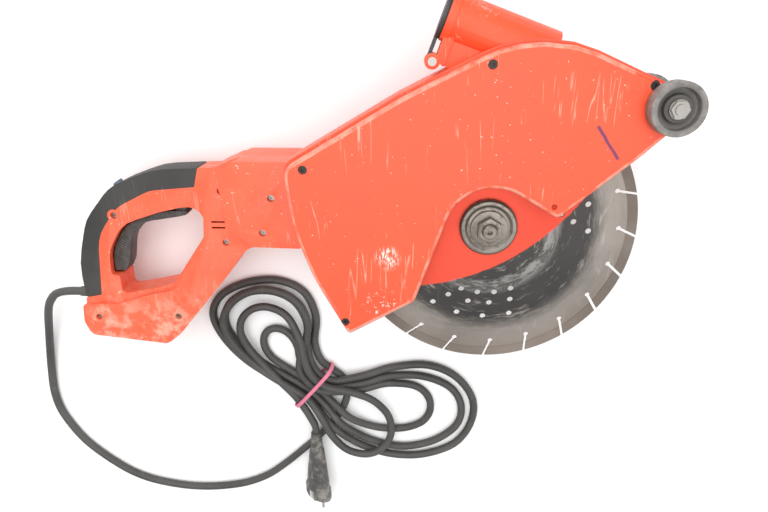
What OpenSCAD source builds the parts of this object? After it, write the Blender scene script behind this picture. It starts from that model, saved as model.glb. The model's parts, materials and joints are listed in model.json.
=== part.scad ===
// Electric diamond cut-off saw with a dust hood, lying on its right side.
// Millimetres. +X is the saw's front, +Y its top and +Z its left side, which faces up.
// The origin is on the spindle axis, at the outer face of the gearbox cover, on the floor.

/* [Blade] */
// Outer diameter of the diamond blade
blade_d = 305; // [260:1:305]
// Thickness of the steel core
blade_core_t = 2.2; // [1.8:0.1:3]
// Thickness of the diamond segments
segment_t = 3; // [2.4:0.1:4]
// Radial height of the diamond segments
segment_h = 10; // [7:0.5:12]
// Number of segments
segment_count = 21; // [18:1:24]
// Bore of the blade
blade_bore_d = 22.2; // [20:0.1:25.4]
// Diameter of the clamping flanges
flange_d = 60; // [50:1:72]
// Width across the flats of the flange nut
nut_af = 24; // [19:1:27]

/* [Layout] */
// Height of the blade's middle plane above the gearbox cover's face
blade_z = 135; // [133:1:150]
// Height of the motor axis and of the handle's joint plane
motor_z = 56; // [54:1:58]
// Outer radius of the motor housing
motor_r = 46; // [45.5:0.5:46.5]
// Length of the motor housing
motor_len = 144; // [144:1:150]

/* [Hood] */
// Wall of both hood halves
hood_wall = 3; // [2.5:0.5:4]
// Height of the right half's outer face
hood_bottom_z = 104; // [104:1:105]
// Height of the left cover's outer face
hood_top_z = 165; // [160:1:172]
// Depth of the left cover's rim
cover_depth = 15; // [12:1:18]
// Outer diameter of the dust port tube
port_d = 46; // [42:1:46]
// Bore of the socket for the vacuum hose
port_bore_d = 41; // [36:0.5:41]
// Depth of that socket
port_depth = 34; // [25:1:36]

/* [Rollers] */
// Outer diameter of a guide roller
roller_d = 50; // [40:1:54]
// Width of a guide roller
roller_w = 17; // [12:1:19]
// Diameter of the roller axle
axle_d = 10; // [8:0.5:12]

/* [Gears] */
// Teeth on the bevel gear
gear_teeth = 36; // [32:1:38]
// Teeth on the bevel pinion
pinion_teeth = 9; // [8:1:10]
// Length of the pitch cone, from the apex to the large end
cone_len = 40; // [38:0.5:40]

/* [Handles] */
// Half thickness of the grip
grip_half = 19; // [17:0.5:21]
// Half thickness of the strut and foot
foot_half = 28; // [26:0.5:30]
// Half thickness behind the motor
rear_half = 42; // [38:0.5:43]
// Wall of the handle shells
shell_wall = 3; // [2.5:0.5:3.5]
// Diameter of the front handle's tube
bow_d = 20; // [16:0.5:22]
// Diameter of its rubber grip
bow_grip_d = 30; // [26:0.5:32]

/* [Cord] */
// Diameter of the mains cord
cord_d = 10.5; // [9:0.5:11]
// Height of the tied hank
hank_h = 25; // [20:1:26]

/* [Hidden] */

$fn = 64;
eps = 0.01;
seat = 0.02;       // clearance of a fixed seat
run_gap = 0.05;    // radial clearance of a turning or sliding fit
air = 0.3;         // gap between pieces that move past each other

function xy(c) = [c[0], c[1]];
function unit(v) = v / norm(v);
// The arc that rounds corner b, with radius r, between the edges to a and to c.
function corner_arc(a, b, c, r) =
  let (u = unit(a - b), v = unit(c - b), half = acos(u * v) / 2, middle = b + unit(u + v) * r / sin(half),
       from = b + u * r / tan(half) - middle, sweep = 180 - 2 * half,
       way = u[0] * v[1] - u[1] * v[0] < 0 ? 1 : -1, steps = max(2, ceil(sweep / 12)))
  [for (k = [0 : steps]) let (t = way * sweep * k / steps)
    middle + [from[0] * cos(t) - from[1] * sin(t), from[0] * sin(t) + from[1] * cos(t)]];
// An outline of [x, y, radius] corners, listed counterclockwise, as points.
function rounded(c) = let (n = len(c))
  [for (i = [0 : n - 1]) each corner_arc(xy(c[(i + n - 1) % n]), xy(c[i]), xy(c[(i + 1) % n]), c[i][2])];
// The same outline moved inwards by d, or outwards where d is negative.
function inset(c, d) = let (n = len(c))
  [for (i = [0 : n - 1])
    let (p = unit(xy(c[i]) - xy(c[(i + n - 1) % n])), q = unit(xy(c[(i + 1) % n]) - xy(c[i])),
         np = [-p[1], p[0]], nq = [-q[1], q[0]], bend = p[0] * q[1] - p[1] * q[0] > 0 ? 1 : -1)
    [each (xy(c[i]) + (np + nq) * d / (1 + np * nq)), max(0.6, c[i][2] - bend * d)]];

module slab(c, z0, z1) translate([0, 0, z0]) linear_extrude(z1 - z0) polygon(rounded(c));
module ring(ro, ri, z0, z1) translate([0, 0, z0]) difference() {
  cylinder(r = ro, h = z1 - z0);
  translate([0, 0, -1]) cylinder(r = ri, h = z1 - z0 + 2);
}
module rod(r, z0, z1) translate([0, 0, z0]) cylinder(r = r, h = z1 - z0);
// Turns a piece drawn along +Z so that it lies along the motor axis, with z as distance behind it.
module on_motor() translate([0, 0, motor_z]) rotate([0, -90, 0]) children();
// A coil drawn as closed rings between two heights.
module coil(r, wire, z0, z1, turns) for (i = [0 : turns - 1])
  translate([0, 0, z0 + wire + (z1 - z0 - 2 * wire) * i / (turns - 1)])
    rotate_extrude() translate([r, 0]) circle(r = wire, $fn = 16);

// ---- spindle, bevel gears and gearbox ----
lower_bearing = [6, 16, 6, 16];                   // bore, outer radius, lowest and highest z
upper_bearing = [8.5, 20, 86, 98];
spindle_neck_r = 10;
spindle_tip_r = 7.5;
blade_low = blade_z - blade_core_t / 2;
blade_high = blade_z + blade_core_t / 2;
flange_low = blade_low - 13.9;
nut_low = blade_high + 10;
nut_h = 8;
spindle_top = nut_low + nut_h + 4;
face_w = 11;                                       // length of the bevel teeth
addendum = 0.9;
dedendum = 1.3;
pinion_angle = atan(pinion_teeth / gear_teeth);
pitch_big = [cone_len * cos(pinion_angle), cone_len * sin(pinion_angle)];
gear_r = pitch_big[0] + 1.5;
chamber_r = gear_r + 1.5;
gearbox_r = chamber_r + 3.5;
cover_t = 8;
gasket_t = 0.5;
chamber_top = motor_z + 14;
neck_r = 34;
ear_r = 6.5;
cover_ears = [for (a = [45 : 90 : 315]) gearbox_r * [cos(a), sin(a)] + [cos(a), sin(a)]];
front_bearing = [7.5, 17.5, 49, 60];               // bore, outer radius, nearest and furthest from the spindle
rear_bearing = [5, 13, 195, 203];
motor_front = 62;
motor_back = motor_front + motor_len;
motor_ears = [for (a = [45 : 90 : 315]) (motor_r + 3.5) * [cos(a), sin(a)]];
bow_z = motor_z - 1;
bow_y = 92;
bow_bend = 24;
bow_front = 8;
bow_rear = -122;
bow_seat_y = 52;
bow_feet = [bow_front, bow_rear];
lock_z = 26;
lock_y = 49;                                       // face of the boss that carries the spindle lock
lock_travel = 4;

module at_neck_screws() for (a = [45 : 90 : 315]) rotate(a) translate([27.5, 0, 0]) children();
module bow_boss(x) translate([x - 21, 36, bow_z - 13]) cube([42, bow_seat_y - 36, 26]);
// Draws along +Z what runs down into a seat of the front handle, from the seat's face.
module at_bow_bolts() for (x = bow_feet, s = [-1, 1])
  translate([x + s * 15.5, bow_seat_y, bow_z]) rotate([90, 0, 0]) children();
module bow_bolt_holes(r) at_bow_bolts() rod(r, -6, 9);

module gearbox_housing() color("silver") difference() {
  union() {
    rod(gearbox_r, cover_t + gasket_t, chamber_top + 4);
    rod(neck_r, chamber_top, hood_bottom_z);
    for (p = cover_ears) translate(p) rod(ear_r, cover_t + gasket_t, 30);
    on_motor() {
      rod(24, 36, motor_front);
      rod(motor_r, motor_front - 6, motor_front);
      for (p = motor_ears) translate(p) rod(6, motor_front - 8, motor_front);
    }
    bow_boss(bow_front);
    translate([0, 36, lock_z]) rotate([-90, 0, 0]) cylinder(r = 11, h = lock_y - 36);
  }
  rod(chamber_r, 0, chamber_top);
  rod(upper_bearing[1] + seat, 0, upper_bearing[3]);
  rod(14, 0, hood_bottom_z + 1);
  on_motor() {
    rod(12, 0, motor_front + 1);
    rod(front_bearing[1] + seat, front_bearing[2], motor_front + 1);
    for (p = motor_ears) translate(p) rod(2.5 + seat, 0, motor_front + 1);
  }
  for (p = cover_ears) translate(p) rod(2.1 + seat, 0, 26);
  at_neck_screws() rod(2.5 + seat, 90, hood_bottom_z + 1);
  bow_bolt_holes(3 + seat);
  translate([0, 0, lock_z]) rotate([-90, 0, 0]) cylinder(r = 4 + run_gap, h = lock_y + 1);
}

module cover_shape(r, z0, z1) {
  rod(r, z0, z1);
  for (p = cover_ears) translate(p) rod(ear_r, z0, z1);
}
module gearbox_cover() color("silver") difference() {
  union() {
    cover_shape(gearbox_r, 0, cover_t);
    rod(lower_bearing[1] + 4, cover_t - 1, lower_bearing[3]);
  }
  rod(lower_bearing[1] + seat, lower_bearing[2], lower_bearing[3] + 1);
  for (p = cover_ears) translate(p) {
    rod(4.2, -1, 5);
    rod(2.1 + seat, 0, cover_t + 1);
  }
}
module gear_cover_gasket() color("dimgray") difference() {
  cover_shape(gearbox_r, cover_t, cover_t + gasket_t);
  rod(chamber_r, 0, 20);
  for (p = cover_ears) translate(p) rod(2.3, 0, 20);
}
module gearbox_cover_screws() color("gray") for (p = cover_ears) translate(p) difference() {
  union() {
    rod(4, 1.2, 5);
    rod(2.1, 5 - eps, 24);
  }
  rod(2, 0, 3);
}
module gearbox_bolts() color("gray") on_motor() for (p = motor_ears) translate(p) {
  rod(4.2, 49, motor_front - 8);
  rod(2.5, motor_front - 8 - eps, motor_front + 10);
}
module ball_bearing(b) {
  ring(b[1], b[1] * 0.82, b[2], b[3]);
  ring(b[0] * 1.3, b[0] + run_gap, b[2], b[3]);
  ring(b[1] * 0.82, b[0] * 1.3, b[2] + 1, b[3] - 1);
}
module spindle_bearings() color("lightgray") {
  ball_bearing(lower_bearing);
  ball_bearing(upper_bearing);
}
module spindle_seal() color("dimgray") ring(14 - seat, spindle_neck_r + run_gap, upper_bearing[3] + air, hood_bottom_z - air);
module spindle() color("gainsboro") difference() {
  union() {
    rod(lower_bearing[0], lower_bearing[2] + 0.3, lower_bearing[3] + eps);
    rod(8, lower_bearing[3], upper_bearing[2]);
    rod(13, 20, 32);
    rod(upper_bearing[0], upper_bearing[2] - eps, upper_bearing[3] + air);
    rod(spindle_neck_r, upper_bearing[3] + air - eps, flange_low);
    rod(spindle_tip_r, flange_low - eps, spindle_top - 1);
    translate([0, 0, spindle_top - 1 - eps]) cylinder(r1 = spindle_tip_r, r2 = spindle_tip_r - 1, h = 1 + eps);
  }
  for (a = [0 : 90 : 270]) rotate(a) translate([0, 0, lock_z]) rotate([-90, 0, 0])
    translate([0, 0, 8.5]) cylinder(r = 4, h = 10);
  translate([0, 0, spindle_top - 5]) cylinder(r = 2.6, h = 6);
}
// One straight tooth along a pitch line from the apex, between two heights above that line.
module tooth(width, low, high) translate([cone_len - face_w, -width / 2, low]) cube([face_w, width, high - low]);
module bevel_gear() color("darkgray") translate([0, 0, motor_z]) {
  rotate_extrude() polygon([
    [8 + seat, -pitch_big[1] - 11], [20, -pitch_big[1] - 11], [gear_r - 5, -pitch_big[1] - 7],
    [gear_r - 0.5, -pitch_big[1] - 4],
    [cone_len * cos(pinion_angle) + dedendum * sin(pinion_angle) * 0.2,
     -cone_len * sin(pinion_angle) - dedendum * cos(pinion_angle)],
    [(cone_len - face_w) * cos(pinion_angle),
     -(cone_len - face_w) * sin(pinion_angle) - dedendum * cos(pinion_angle)],
    [16, -pitch_big[1] - 3], [8 + seat, -pitch_big[1] - 3]]);
  for (i = [0 : gear_teeth - 1]) rotate((i + 0.5) * 360 / gear_teeth + 180)
    rotate([0, pinion_angle, 0]) tooth(2, -dedendum - 0.3, addendum);
}
module bevel_pinion() color("darkgray") on_motor() difference() {
  union() {
    translate([0, 0, (cone_len - face_w) * cos(pinion_angle)]) cylinder(
      r1 = (cone_len - face_w) * sin(pinion_angle) - dedendum, r2 = pitch_big[1] - dedendum,
      h = face_w * cos(pinion_angle));
    rod(pitch_big[1] - dedendum, pitch_big[0] - eps, front_bearing[2] - 3);
    for (i = [0 : pinion_teeth - 1]) rotate(i * 360 / pinion_teeth + 180)
      rotate([0, -90 + pinion_angle, 0]) tooth(1.2, -addendum, dedendum + 0.3);
  }
  rod(4 + seat, 0, 60);
}
module spindle_lock_button() color("darkred") translate([0, 0, lock_z]) rotate([-90, 0, 0]) {
  rod(3, 14, 38);
  rod(4, 38 - eps, lock_y + lock_travel + 1.5);
  rod(9, lock_y + lock_travel + 1.5 - eps, lock_y + lock_travel + 8);
}
module spindle_lock_spring() color("silver") translate([0, 0, lock_z]) rotate([-90, 0, 0])
  coil(6, 0.6, lock_y + 0.2, lock_y + lock_travel + 1.3, 4);

// ---- blade and its clamp ----
module inner_flange() color("darkgray") difference() {
  union() {
    rod(flange_d / 2, blade_low - 9, blade_low);
    rod(16, flange_low, blade_low - 9 + eps);
    rod(blade_bore_d / 2 - run_gap, blade_low - eps, blade_high - 0.2);
  }
  rod(spindle_tip_r + seat, 0, 200);
}
core_r = blade_d / 2 - segment_h;
slot_root_r = core_r - 8;
slot_pitch = 360 / segment_count;
slot_lean = -2.9;
hole_rows = [[76, -13, 13.7], [88, -20, 15], [104, -26, 16]];    // radius, first angle and pitch in a group
module slot_cut(z0, z1) for (i = [0 : segment_count - 1]) rotate(i * slot_pitch) {
  translate([slot_root_r, 0, 0]) rod(2.6, z0, z1);
  translate([slot_root_r, 0, z0]) rotate(slot_lean * blade_d / 2 / (blade_d / 2 - slot_root_r))
    translate([0, -1.4, 0]) cube([30, 2.8, z1 - z0]);
}
module blade_core() color("gray") difference() {
  rod(core_r, blade_low, blade_high);
  rod(blade_bore_d / 2, 0, 200);
  slot_cut(blade_low - 1, blade_high + 1);
  for (group = [24, 144, 264], row = hole_rows, k = [0 : 3]) rotate(group + row[1] + k * row[2])
    translate([row[0], 0, 0]) rod(3.1, blade_low - 1, blade_high + 1);
}
module blade_segments() color("darkgray") difference() {
  ring(blade_d / 2, core_r, blade_z - segment_t / 2, blade_z + segment_t / 2);
  slot_cut(blade_z - segment_t, blade_z + segment_t);
}
module outer_flange() color("silver") translate([0, 0, blade_high]) rotate_extrude()
  polygon([[spindle_tip_r + seat, 0.5], [19, 0.5], [19, 0], [flange_d / 2, 0], [flange_d / 2, 5],
    [flange_d / 2 - 2, 7.5], [flange_d / 2 - 5, 7.5], [22, 5.5], [19, 6], [19, 10], [spindle_tip_r + seat, 10]]);
module flange_nut() color("silver") difference() {
  translate([0, 0, nut_low]) rotate(30) cylinder(d = nut_af / cos(30), h = nut_h, $fn = 6);
  rod(spindle_tip_r + seat, 0, 200);
}

// ---- hood ----
nose = [193, 131, 22];
hood_back = [[67, 186, 120], [7, 186, 120], [-95, 135, 200], [-211, 66, 18], [-206, 8, 200], [-185, -52, 200],
  [-147, -121, 7]];
cover_outline = [nose, each hood_back, [-73, -78, 14], [-24, 66, 45], [65, 14, 9], [140, 79, 100]];
shell_outline = [nose, each hood_back, [-40, -56, 30], [30, -46, 30], [140, 79, 60]];
hood_seam_z = hood_top_z - cover_depth;
roller_at = [158, 127];
hood_screws = [[-188, 64], [-8, 164], [-149, -101], [140, 146]];
port_z = hood_bottom_z + port_d / 2 - 1;
port_tilt = 160;                                    // direction of the tube, from +X
port_offset = 177.5;                                // distance of its axis from the spindle axis
port_mouth = 117;
cap_axis = [115.6, 133.6];                          // hinge of the cap, along and across the tube
// Draws along +Z what runs along the dust tube; x is then away from the spindle axis.
module on_port() translate([0, 0, port_z]) rotate(port_tilt) rotate([90, 0, 90])
  translate([-port_offset, 0, 0]) children();
module at_cap_hinge() rotate(port_tilt) translate([cap_axis[0], -cap_axis[1], 0]) children();
module at_roller() translate(roller_at) children();

module guard_shell() color("tomato") difference() {
  union() {
    difference() {
      union() {
        slab(shell_outline, hood_bottom_z, hood_seam_z - 0.4);
        on_port() {
          rod(port_d / 2, 10, port_mouth);
          rod(port_d / 2 + 1, port_mouth - 8, port_mouth);
        }
        port_bracket();
      }
      slab(inset(shell_outline, hood_wall), hood_bottom_z + hood_wall, hood_seam_z + 1);
      rod(blade_d / 2 + 4.5, hood_bottom_z + hood_wall, hood_seam_z + 1);
      on_port() {
        rod(port_bore_d / 2 - 0.7, 0, port_mouth);
        rod(port_bore_d / 2, port_mouth - port_depth, port_mouth + 1);
      }
    }
    intersection() {
      slab(inset(shell_outline, 0.5), hood_bottom_z, hood_seam_z - 0.4);
      for (p = hood_screws) translate(p) rod(6.5, hood_bottom_z, hood_seam_z - 0.4);
    }
    at_roller() rod(12, hood_bottom_z - 1, hood_seam_z - 0.4);
  }
  rod(14, 0, 200);
  for (p = hood_screws) translate(p) rod(2.5 + seat, hood_seam_z - 26, hood_seam_z + 1);
  at_neck_screws() rod(2.5 + seat, 0, 110);
  at_roller() rod(axle_d / 2 + seat, 0, 200);
}
// The flat bracket under the dust tube, with its open notch and the two ears of the cap's hinge.
module port_bracket() difference() {
  union() {
    translate([0, 0, port_z - 12]) rotate(port_tilt) translate([40, -cap_axis[1] - 24, 0]) cube([65, 26, 24]);
    for (s = [-1, 1]) at_cap_hinge() {
      translate([0, 0, port_z + s * 11 - 3]) cylinder(r = 7.5, h = 6);
      translate([-12, -26, port_z + s * 11 - 3]) cube([10, 26, 6]);
    }
  }
  at_cap_hinge() translate([-14, 6, port_z - 20]) rod(6, 0, 40);
  at_cap_hinge() rod(2.5 + seat, 0, 200);
  at_cap_hinge() translate([-9.5, -40, port_z - 8 - air]) cube([30, 70, 16 + 2 * air]);
}
module guard_cover() color("tomato") difference() {
  union() {
    difference() {
      union() {
        slab(cover_outline, hood_seam_z, hood_top_z - 3);
        slab(inset(cover_outline, 1.5), hood_top_z - 3 - eps, hood_top_z - 1.2);
        slab(inset(cover_outline, 3.5), hood_top_z - 1.2 - eps, hood_top_z);
      }
      slab(inset(cover_outline, hood_wall), hood_seam_z - 1, hood_top_z - hood_wall);
    }
    intersection() {
      slab(inset(cover_outline, 2), hood_seam_z, hood_top_z - 1.5);
      for (p = hood_screws) translate(p) rod(8.5, hood_seam_z, hood_top_z - 1.5);
    }
    at_roller() rod(12, hood_seam_z, hood_top_z);
  }
  for (p = hood_screws) translate(p) {
    rod(6, hood_top_z - 7, hood_top_z + 1);
    rod(2.6, 0, 200);
  }
  translate([60, 30, 0]) rod(2.8, hood_top_z - 10, hood_top_z + 1);
  at_roller() rod(axle_d / 2 + seat, 0, 200);
}
// The cover's recessed screws, and the four that hold the hood on the gearbox.
module guard_screws() color("dimgray") {
  for (p = hood_screws) translate(p) difference() {
    union() {
      rod(5, hood_top_z - 7, hood_top_z - 2.5);
      rod(2.5, hood_seam_z - 22, hood_top_z - 7 + eps);
    }
    translate([0, 0, hood_top_z - 5]) cylinder(r = 2.6, h = 4, $fn = 6);
  }
  at_neck_screws() {
    rod(4.2, hood_bottom_z + hood_wall, hood_bottom_z + hood_wall + 4.5);
    rod(2.5, 92, hood_bottom_z + hood_wall + eps);
  }
}
roller_gap = 1;
left_roller_z = hood_top_z + roller_gap;
right_roller_z = hood_bottom_z - 1 - roller_gap - roller_w;
module roller() difference() {
  rod(roller_d / 2, 0, roller_w);
  ring(roller_d / 2 - 6, 13, roller_w - 9, roller_w + 1);
  rod(8 + run_gap, -1, roller_w + 1);
  rod(13 + eps, roller_w - 3, roller_w + 1);
}
module roller_bush() ring(8, axle_d / 2 + seat, 0, roller_w - 3);
module at_left_roller() at_roller() translate([0, 0, left_roller_z]) children();
module at_right_roller() at_roller() translate([0, 0, right_roller_z + roller_w]) mirror([0, 0, 1]) children();
module roller_left() color("darkgray") at_left_roller() roller();
module roller_right() color("darkgray") at_right_roller() roller();
module roller_bushes() color("goldenrod") {
  at_left_roller() roller_bush();
  at_right_roller() roller_bush();
}
module roller_axle() color("silver") at_roller()
  rod(axle_d / 2, right_roller_z - 4, left_roller_z + roller_w + 4);
module roller_nuts() color("silver") {
  at_left_roller() roller_nut();
  at_right_roller() roller_nut();
}
module roller_nut() {
  ring(9, axle_d / 2 + seat, roller_w - 3 + air, roller_w - 1);
  difference() {
    translate([0, 0, roller_w - 1]) cylinder(r = 8.6, h = 3.5, $fn = 6);
    rod(axle_d / 2 + seat, 0, roller_w + 9);
  }
}
cap_low = port_mouth + 1.5;
module port_cap() color("dimgray") {
  on_port() rod(port_d / 2 + 1, cap_low, cap_low + 3.5);
  difference() {
    union() {
      at_cap_hinge() translate([cap_low - cap_axis[0], -28, port_z - 8]) cube([3.5, 30, 16]);
      at_cap_hinge() rod(7, port_z - 8, port_z + 8);
    }
    at_cap_hinge() rod(2.5 + run_gap, 0, 200);
    at_cap_hinge() ring(6, 4, port_z + 4, port_z + 9);
  }
}
module port_cap_seal() color("black") on_port() ring(port_d / 2, port_bore_d / 2 - 3, port_mouth + air, cap_low);
module port_cap_pin() color("silver") at_cap_hinge() {
  rod(2.5, port_z - 15, port_z + 14.2);
  rod(4.2, port_z + 14.2 - eps, port_z + 16.5);
}
module port_cap_spring() color("silver") at_cap_hinge() coil(5, 0.6, port_z + 4.1, port_z + 7.8, 3);

// ---- motor ----
module motor_housing() color("firebrick") difference() {
  union() {
    on_motor() {
      rod(motor_r, motor_front, motor_back);
      for (p = motor_ears) translate(p) rod(6, motor_front, motor_front + 12);
    }
    bow_boss(bow_rear);
  }
  on_motor() {
    difference() {
      rod(motor_r - hood_wall - 0.5, motor_front - 1, motor_back - 5);
      rod(rear_bearing[1] + 4, rear_bearing[2] - 3, motor_back);
    }
    rod(rear_bearing[1] + seat, rear_bearing[2] - 4, rear_bearing[3]);
    for (a = [0 : 45 : 315]) rotate(a) translate([30, 0, 0]) rod(5, motor_back - 8, motor_back + 1);
    for (p = motor_ears) translate(p) rod(2.5 + seat, 0, motor_front + 11);
  }
  bow_bolt_holes(3 + seat);
}
stack_from = 84;
stack_to = 144;
module stator_core() color("slategray") on_motor() difference() {
  rod(motor_r - hood_wall - 0.6, stack_from, stack_to);
  rod(27, stack_from - 1, stack_to + 1);
  for (a = [0, 180]) rotate(a) translate([-20, 24, stack_from - 1]) cube([40, 10, stack_to - stack_from + 2]);
}
module stator_winding() color("peru") on_motor() {
  ring(39, 29, stack_from - 5, stack_from);
  ring(39, 29, stack_to, stack_to + 6);
}
module armature_shaft() color("gainsboro") on_motor() {
  rod(4, 26, front_bearing[2] - 3 + eps);
  rod(front_bearing[0], front_bearing[2] - 3, front_bearing[3] + 1);
  rod(8, front_bearing[3] + 1 - eps, 186);
  rod(rear_bearing[0], 186 - eps, rear_bearing[3] - 0.3);
}
module armature_core() color("slategray") on_motor() difference() {
  rod(26, stack_from + 2, stack_to - 2);
  rod(8 + seat, 0, 300);
  for (a = [0 : 30 : 330]) rotate(a) translate([17, -1.5, stack_from]) cube([12, 3, stack_to - stack_from]);
}
module armature_winding() color("peru") on_motor() {
  ring(24, 8 + seat, stack_from - 3, stack_from + 2);
  ring(24, 8 + seat, stack_to - 2, stack_to + 8);
}
module commutator() color("peru") on_motor() difference() {
  ring(15, 8 + seat, stack_to + 12, stack_to + 36);
  for (a = [0 : 15 : 345]) rotate(a) translate([13, -0.3, stack_to + 16]) cube([4, 0.6, 24]);
}
module cooling_fan() color("black") on_motor() {
  ring(38, 8 + seat, 64, 66);
  ring(12, 8 + seat, 66 - eps, 76);
  for (a = [0 : 30 : 330]) rotate(a) translate([14, -0.8, 66 - eps]) cube([23, 1.6, 10]);
}
module motor_bearings() color("lightgray") on_motor() {
  ball_bearing(front_bearing);
  ball_bearing(rear_bearing);
}
module at_brush() on_motor() for (s = [0, 180]) rotate(s + 90) translate([0, 0, stack_to + 24]) children();
module brush_holders() color("goldenrod") at_brush() difference() {
  translate([17, -5, -7]) cube([24.5, 10, 14]);
  translate([10, -3.1, -5.1]) cube([28, 6.2, 10.2]);
}
module carbon_brushes() color("black") at_brush() translate([15.3, -3, -5]) cube([16, 6, 10]);
module brush_springs() color("silver") at_brush() rotate([0, 90, 0]) coil(2.2, 0.5, 31.4, 37.9, 4);

// ---- rear handle ----
grip_back = [[-326, 44.5, 2], [-378, 42, 90], [-432, 22, 60], [-468, -20, 60], [-485, -75, 110], [-484, -120, 3]];
grip_inner = [[-464, -117, 2], [-456, -40, 60], [-428, -4, 45], [-386, 17, 40], [-332, 22, 2]];
red_outline = [[-206, 57, 3], [-282, 57, 18], [-309, 45, 12], [-326, 44.5, 2], [-332, 22, 2], [-386, 17, 40],
  [-428, -4, 45], [-456, -40, 60], [-464, -117, 2], [-484, -121, 2], [-487, -150, 12], [-480, -168, 10],
  [-384, -178, 12], [-366, -164, 12], [-302, -87, 30], [-272, -47, 25], [-206, -43, 3]];
wide_outline = [[-206, 57, 3], [-282, 57, 18], [-309, 45, 12], [-320, 8, 20], [-324, -38, 20], [-368, -105, 10],
  [-400, -112, 10], [-440, -125, 10], [-485, -127, 4], [-487, -150, 12], [-480, -168, 10],
  [-384, -178, 12], [-366, -164, 12], [-302, -87, 30], [-272, -47, 25], [-206, -43, 3]];
rear_outline = [[-206, 57, 3], [-280, 57, 15], [-298, 40, 15], [-290, -20, 20], [-262, -42, 10], [-206, -43, 3]];
rubber_outline = [each grip_back, each grip_inner];
loop_outline = [[-324, 0, 18], [-352, -3, 10], [-378, -9, 60], [-425, -25, 40], [-446, -60, 45], [-447, -89, 3],
  [-437, -91, 2], [-437, -115, 6], [-400, -108, 20], [-371, -101, 20], [-325, -36, 20]];
trigger_outline = [[-349, -9, 2.5], [-378, -10.5, 60], [-424, -27, 38], [-445, -60, 42], [-446, -87, 2],
  [-432, -87, 3], [-426, -75, 15], [-420, -42, 30], [-402, -24, 30], [-360, -17, 20], [-347, -14, 2.5]];
trigger_pocket = [[-344, 8, 3], [-378, 2, 50], [-430, -16, 40], [-456, -55, 42], [-458, -90, 2], [-431, -90, 2],
  [-428, -60, 15], [-402, -26, 30], [-340, -12, 3]];
switch_low = 3;
core_half = grip_half - 4;
rubber_t = 3;
trigger_half = 10;
trigger_axis = [-347, 8];
// Place and surface height of each handle screw.
handle_screw_list = [[-433, -14, grip_half], [-299, 20, foot_half], [-298, -42, foot_half], [-238, 16, rear_half],
  [-250, -25, rear_half], [-366, -140, foot_half], [-467, -143, foot_half]];
button_at = [-429, 20];
button_angle = 127;                                 // direction in which the button stands out
button_travel = 3;
sleeve_y = -121;
sleeve_hole_r = 8;
exit_x = -500;

module at_button() translate([button_at[0], button_at[1], motor_z]) rotate([0, 0, button_angle])
  rotate([0, 90, 0]) children();
module both(c, half) slab(c, motor_z - half, motor_z + half);
module both_rod(r, half) rod(r, motor_z - half, motor_z + half);
module grip_core() both(inset(rubber_outline, rubber_t), core_half);
module handle_body() {
  difference() {
    union() {
      both(red_outline, grip_half);
      both(wide_outline, foot_half);
      both(rear_outline, rear_half);
      grip_core();
      grip_bridge();
      translate(xy(handle_screw_list[0])) both_rod(7.7, grip_half);
    }
    both(loop_outline, 60);
  }
}
// Joins the core under the rubber to the red body.
module grip_bridge() both([[-333, 26, 2], [-386, 23, 40], [-432, 3, 45], [-462, -38, 60], [-470, -116, 2],
  [-458, -116, 2], [-450, -42, 50], [-424, -8, 45], [-386, 11, 40], [-333, 16, 2]], core_half);
module handle_hollow() difference() {
  union() {
    both(inset(red_outline, shell_wall), grip_half - shell_wall);
    both(inset(wide_outline, shell_wall), foot_half - shell_wall);
    both(inset(rear_outline, shell_wall), rear_half - shell_wall);
    both([[-340, 36, 3], [-378, 35, 60], [-424, 17, 50], [-459, -22, 60], [-475, -75, 90], [-475, -108, 3],
      [-462, -108, 2], [-449, -45, 50], [-424, -8, 45], [-386, 8, 40], [-340, 12, 2]], core_half - shell_wall);
  }
  both(inset(loop_outline, -shell_wall), 60);
  for (p = handle_screw_list) translate(xy(p)) rod(5.5, 0, 200);
  translate(trigger_axis) rod(6, 0, 200);
  translate([-354, 16, 0]) rod(2.5, 0, 200);
  translate([-480, sleeve_y, motor_z]) rotate([0, 90, 0]) rod(11, -10, 8);
}
module handle_cuts() {
  both(trigger_pocket, trigger_half + air);
  both([[-339, -16, 2], [-339, 15, 4], [-355, 15, 4], [-368, -16, 2]], trigger_half + air);
  translate(trigger_axis) rod(2.5 + seat, motor_z - 14, motor_z + 14);
  for (p = handle_screw_list) translate(xy(p)) {
    rod(2 + seat, motor_z - 14, motor_z + 60);
    rod(4.2, motor_z + p[2] - 8, motor_z + 60);
  }
  translate([-500, sleeve_y, motor_z]) rotate([0, 90, 0]) rod(sleeve_hole_r, 0, 34);
  at_button() {
    rod(6 + run_gap, -6, 30);
    rod(8, -14.5, -6);
  }
  on_motor() rod(16, motor_back - 2, motor_back + 6);
  for (y = [-17, -24]) translate([-313, y - 1, motor_z + foot_half - 5]) cube([16, 2.2, 8]);
}
module handle_half(s) intersection() {
  difference() {
    handle_body();
    handle_hollow();
    handle_cuts();
  }
  translate([-500, -190, s > 0 ? motor_z : motor_z - 60]) cube([300, 260, 60]);
}
module handle_left() color("salmon") handle_half(1);
module handle_right() color("salmon") handle_half(-1);
module handle_screws() color("gray") for (p = handle_screw_list) translate([p[0], p[1], motor_z]) difference() {
  union() {
    rod(3.8, p[2] - 8, p[2] - 5);
    rod(2, -13, p[2] - 8 + eps);
  }
  rod(1.8, p[2] - 6.5, p[2]);
}
module grip_overmould() color("dimgray") difference() {
  both(rubber_outline, grip_half);
  both(red_outline, grip_half + 1);
  both(inset(rubber_outline, rubber_t - seat), core_half + seat);
  bridge_room();
  for (p = handle_screw_list) translate(xy(p)) rod(8, 0, 200);
  at_button() rod(9, -10, 20);
  translate([-500, sleeve_y, motor_z]) rotate([0, 90, 0]) rod(sleeve_hole_r + seat, -5, 34);
}
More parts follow.
